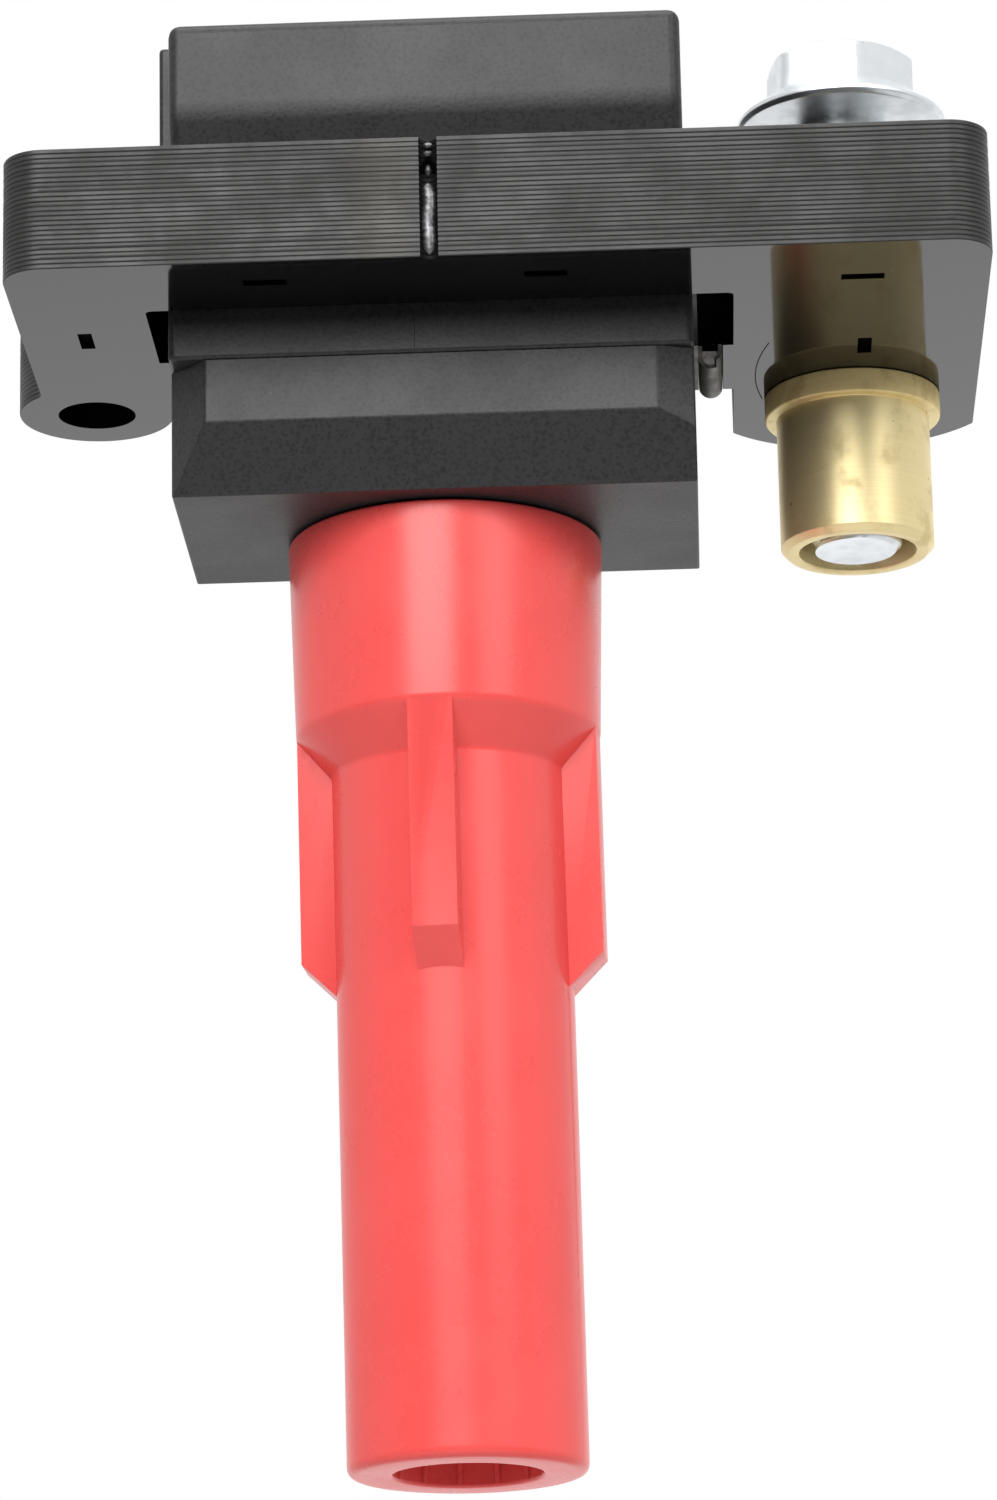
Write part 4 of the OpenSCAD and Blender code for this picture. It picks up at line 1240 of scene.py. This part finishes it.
def makeSocket(s):
    low, high = boxOf("connector_socket")
    x = (low.x + high.x) / 2
    z = low.z + s["wall"] + s["inside"][1] / 2
    back, end = low.y, high.y
    bm = bmesh.new()
    w, h = s["inside"][0] / 2, s["inside"][1] / 2
    wall, r = s["wall"], s["cornerRadius"]
    rows = []
    stations = [(back, wall), (end - 0.5, wall), (end - 0.12, wall - 0.1), (end, wall - 0.35), (end, 0.35),
                (end - 0.3, 0.08), (end - 0.7, 0), (back + 1.6, 0)]
    for y, thick in stations:
        rows.append([bm.verts.new((px, y, pz)) for px, pz in
                     roundedBox(x, z, w + thick, h + thick, max(0.3, r - wall + thick))])
    joinRings(bm, rows)
    bm.faces.new(rows[0])
    bm.faces.new(list(reversed(rows[-1])))
    newPiece("connectorShroud", bm, "case", stands=["connector_socket"], sharp=40)
    latch = bmesh.new()
    topFace = z + h + wall
    addPrism(latch, [(end - 9, topFace - 0.2), (end - 6, topFace - 0.2), (end - 6, topFace + 0.35),
                     (end - 8.7, topFace + 1.6),
                     (end - 9, topFace + 1.6)], x - 2.5, x + 2.5, "X")
    for side in (-1, 1):
        addBox(latch, (x + side * 5.5 - 0.6, back - 0.3, topFace - 0.2),
               (x + side * 5.5 + 0.6, end - 2, topFace + 1.55))
    for side in (-1, 1):            # ribs under the shroud
        addBox(latch, (x + side * 6 - 0.6, back - 0.3, low.z), (x + side * 6 + 0.6, end - 5, low.z + 0.6))
    soften(newPiece("latchRamp", latch, "case"), 0.25, 3)
    blades = bmesh.new()
    tipLow, tipHigh = boxOf("connector_terminals")
    wide, thick = s["blade"]
    for i in (-1, 0, 1):
        bx = x + i * s["bladePitch"]
        made = addBox(blades, (bx - wide / 2, tipLow.y, z - thick / 2), (bx + wide / 2, tipHigh.y, z + thick / 2))
        for v in made:              # the blade's tip is coined to a wedge
            if v.co.y > tipHigh.y - 0.01:
                v.co = Vector((bx + (v.co.x - bx) * 0.7, v.co.y, z + (v.co.z - z) * 0.35))
        addBox(blades, (bx - wide / 2, tipLow.y, z), (bx + wide / 2, tipLow.y + thick, tipHigh.z))
    piece = newPiece("contactBlades", blades, "tinned", stands=["connector_terminals"])
    soften(piece, 0.1, 2)


makeSocket(socketSet)


# Spring and contact button

springSet = {"turns": 9, "radius": 2.4, "wire": 0.7, "sides": 12, "steps": 24}


def makeSpring(s):
    low, high = boxOf("contact_spring")
    bm = bmesh.new()
    path = []
    count = s["turns"] * s["steps"]
    bottom, top = low.z + s["wire"] / 2, high.z - s["wire"] / 2
    for i in range(count + 1):
        t = i / count
        turn = 2 * pi * s["turns"] * t
        lead = min(1, max(0, (t - 0.06) / 0.88))
        path.append((s["radius"] * cos(turn), s["radius"] * sin(turn),
                     bottom + (top - bottom) * (0.88 * lead + 0.12 * t)))
    addTube(bm, path, s["wire"] / 2, s["sides"])
    spring = newPiece("contactSpring", bm, "springSteel", "coil", ["contact_spring"], sharp=60)
    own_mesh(spring)


buttonSet = {"tip": 2.0, "tipHeight": 1.0, "flange": 3.2}


def makeButton(s):
    low, high = boxOf("spring_contact")
    bm = bmesh.new()
    step = low.z + s["tipHeight"]
    points = [(0.001, step), (s["tip"], step), (s["tip"], low.z), (s["flange"], low.z), (s["flange"], high.z),
              (0.001, high.z)]
    addLathe(bm, roundProfile(points, [0, 0.2, 0.25, 0.3, 0.3, 0]), steps=72)
    return newPiece("contactButton", bm, "terminalBrass", "contact", ["spring_contact"], sharp=40)


makeSpring(springSet)
makeButton(buttonSet)
print("stage: connector and spring")


# CAD nodes that keep their shape

nodeFinishes = {
    "bias_magnet": "magnet", "potting_resin": "resin", "connector_terminals": "tinned",
    "igniter_module": "module",
    "heat_spreader": "aluminium", "primary_bobbin": "bobbin", "primary_winding": "heavyWire",
    "secondary_bobbin": "bobbin",
    "secondary_winding": "fineWire", "high_voltage_diode": "module", "high_voltage_lead": "tinned",
    "output_terminal": "terminalBrass", "suppressor_resistor": "ceramic",
    "core_yoke": "varnish", "weld_bead": "weld", "core_bar": "varnish", "core_clip": "springSteel",
    "lower_case": "case",
    "upper_case": "case", "connector_socket": "case", "contact_spring": "springSteel",
    "spring_contact": "terminalBrass",
    "plug_boot": "boot", "spacer_sleeve": "spacerBrass", "bolt_retainer": "rubber", "mounting_bolt": "zinc",
}
for nodeName, finish in nodeFinishes.items():
    mesh = nodes[nodeName].data
    if not mesh.materials:
        mesh.materials.append(materials[finish])
    for index in range(len(mesh.materials)):
        mesh.materials[index] = materials[finish]
print("stage: node finishes")


# Floor

def makeFloor(s):
    bm = bmesh.new()
    bmesh.ops.create_circle(bm, cap_ends=True, radius=s["floorRadius"], segments=96)
    for v in bm.verts:
        v.co.z = s["floorHeight"]
    mesh = bpy.data.meshes.new("floor")
    bm.to_mesh(mesh)
    bm.free()
    floor = bpy.data.objects.new("floor", mesh)
    scene.collection.objects.link(floor)
    mesh.materials.append(materials["floor"])


makeFloor(lightSet)

print("stage: done")
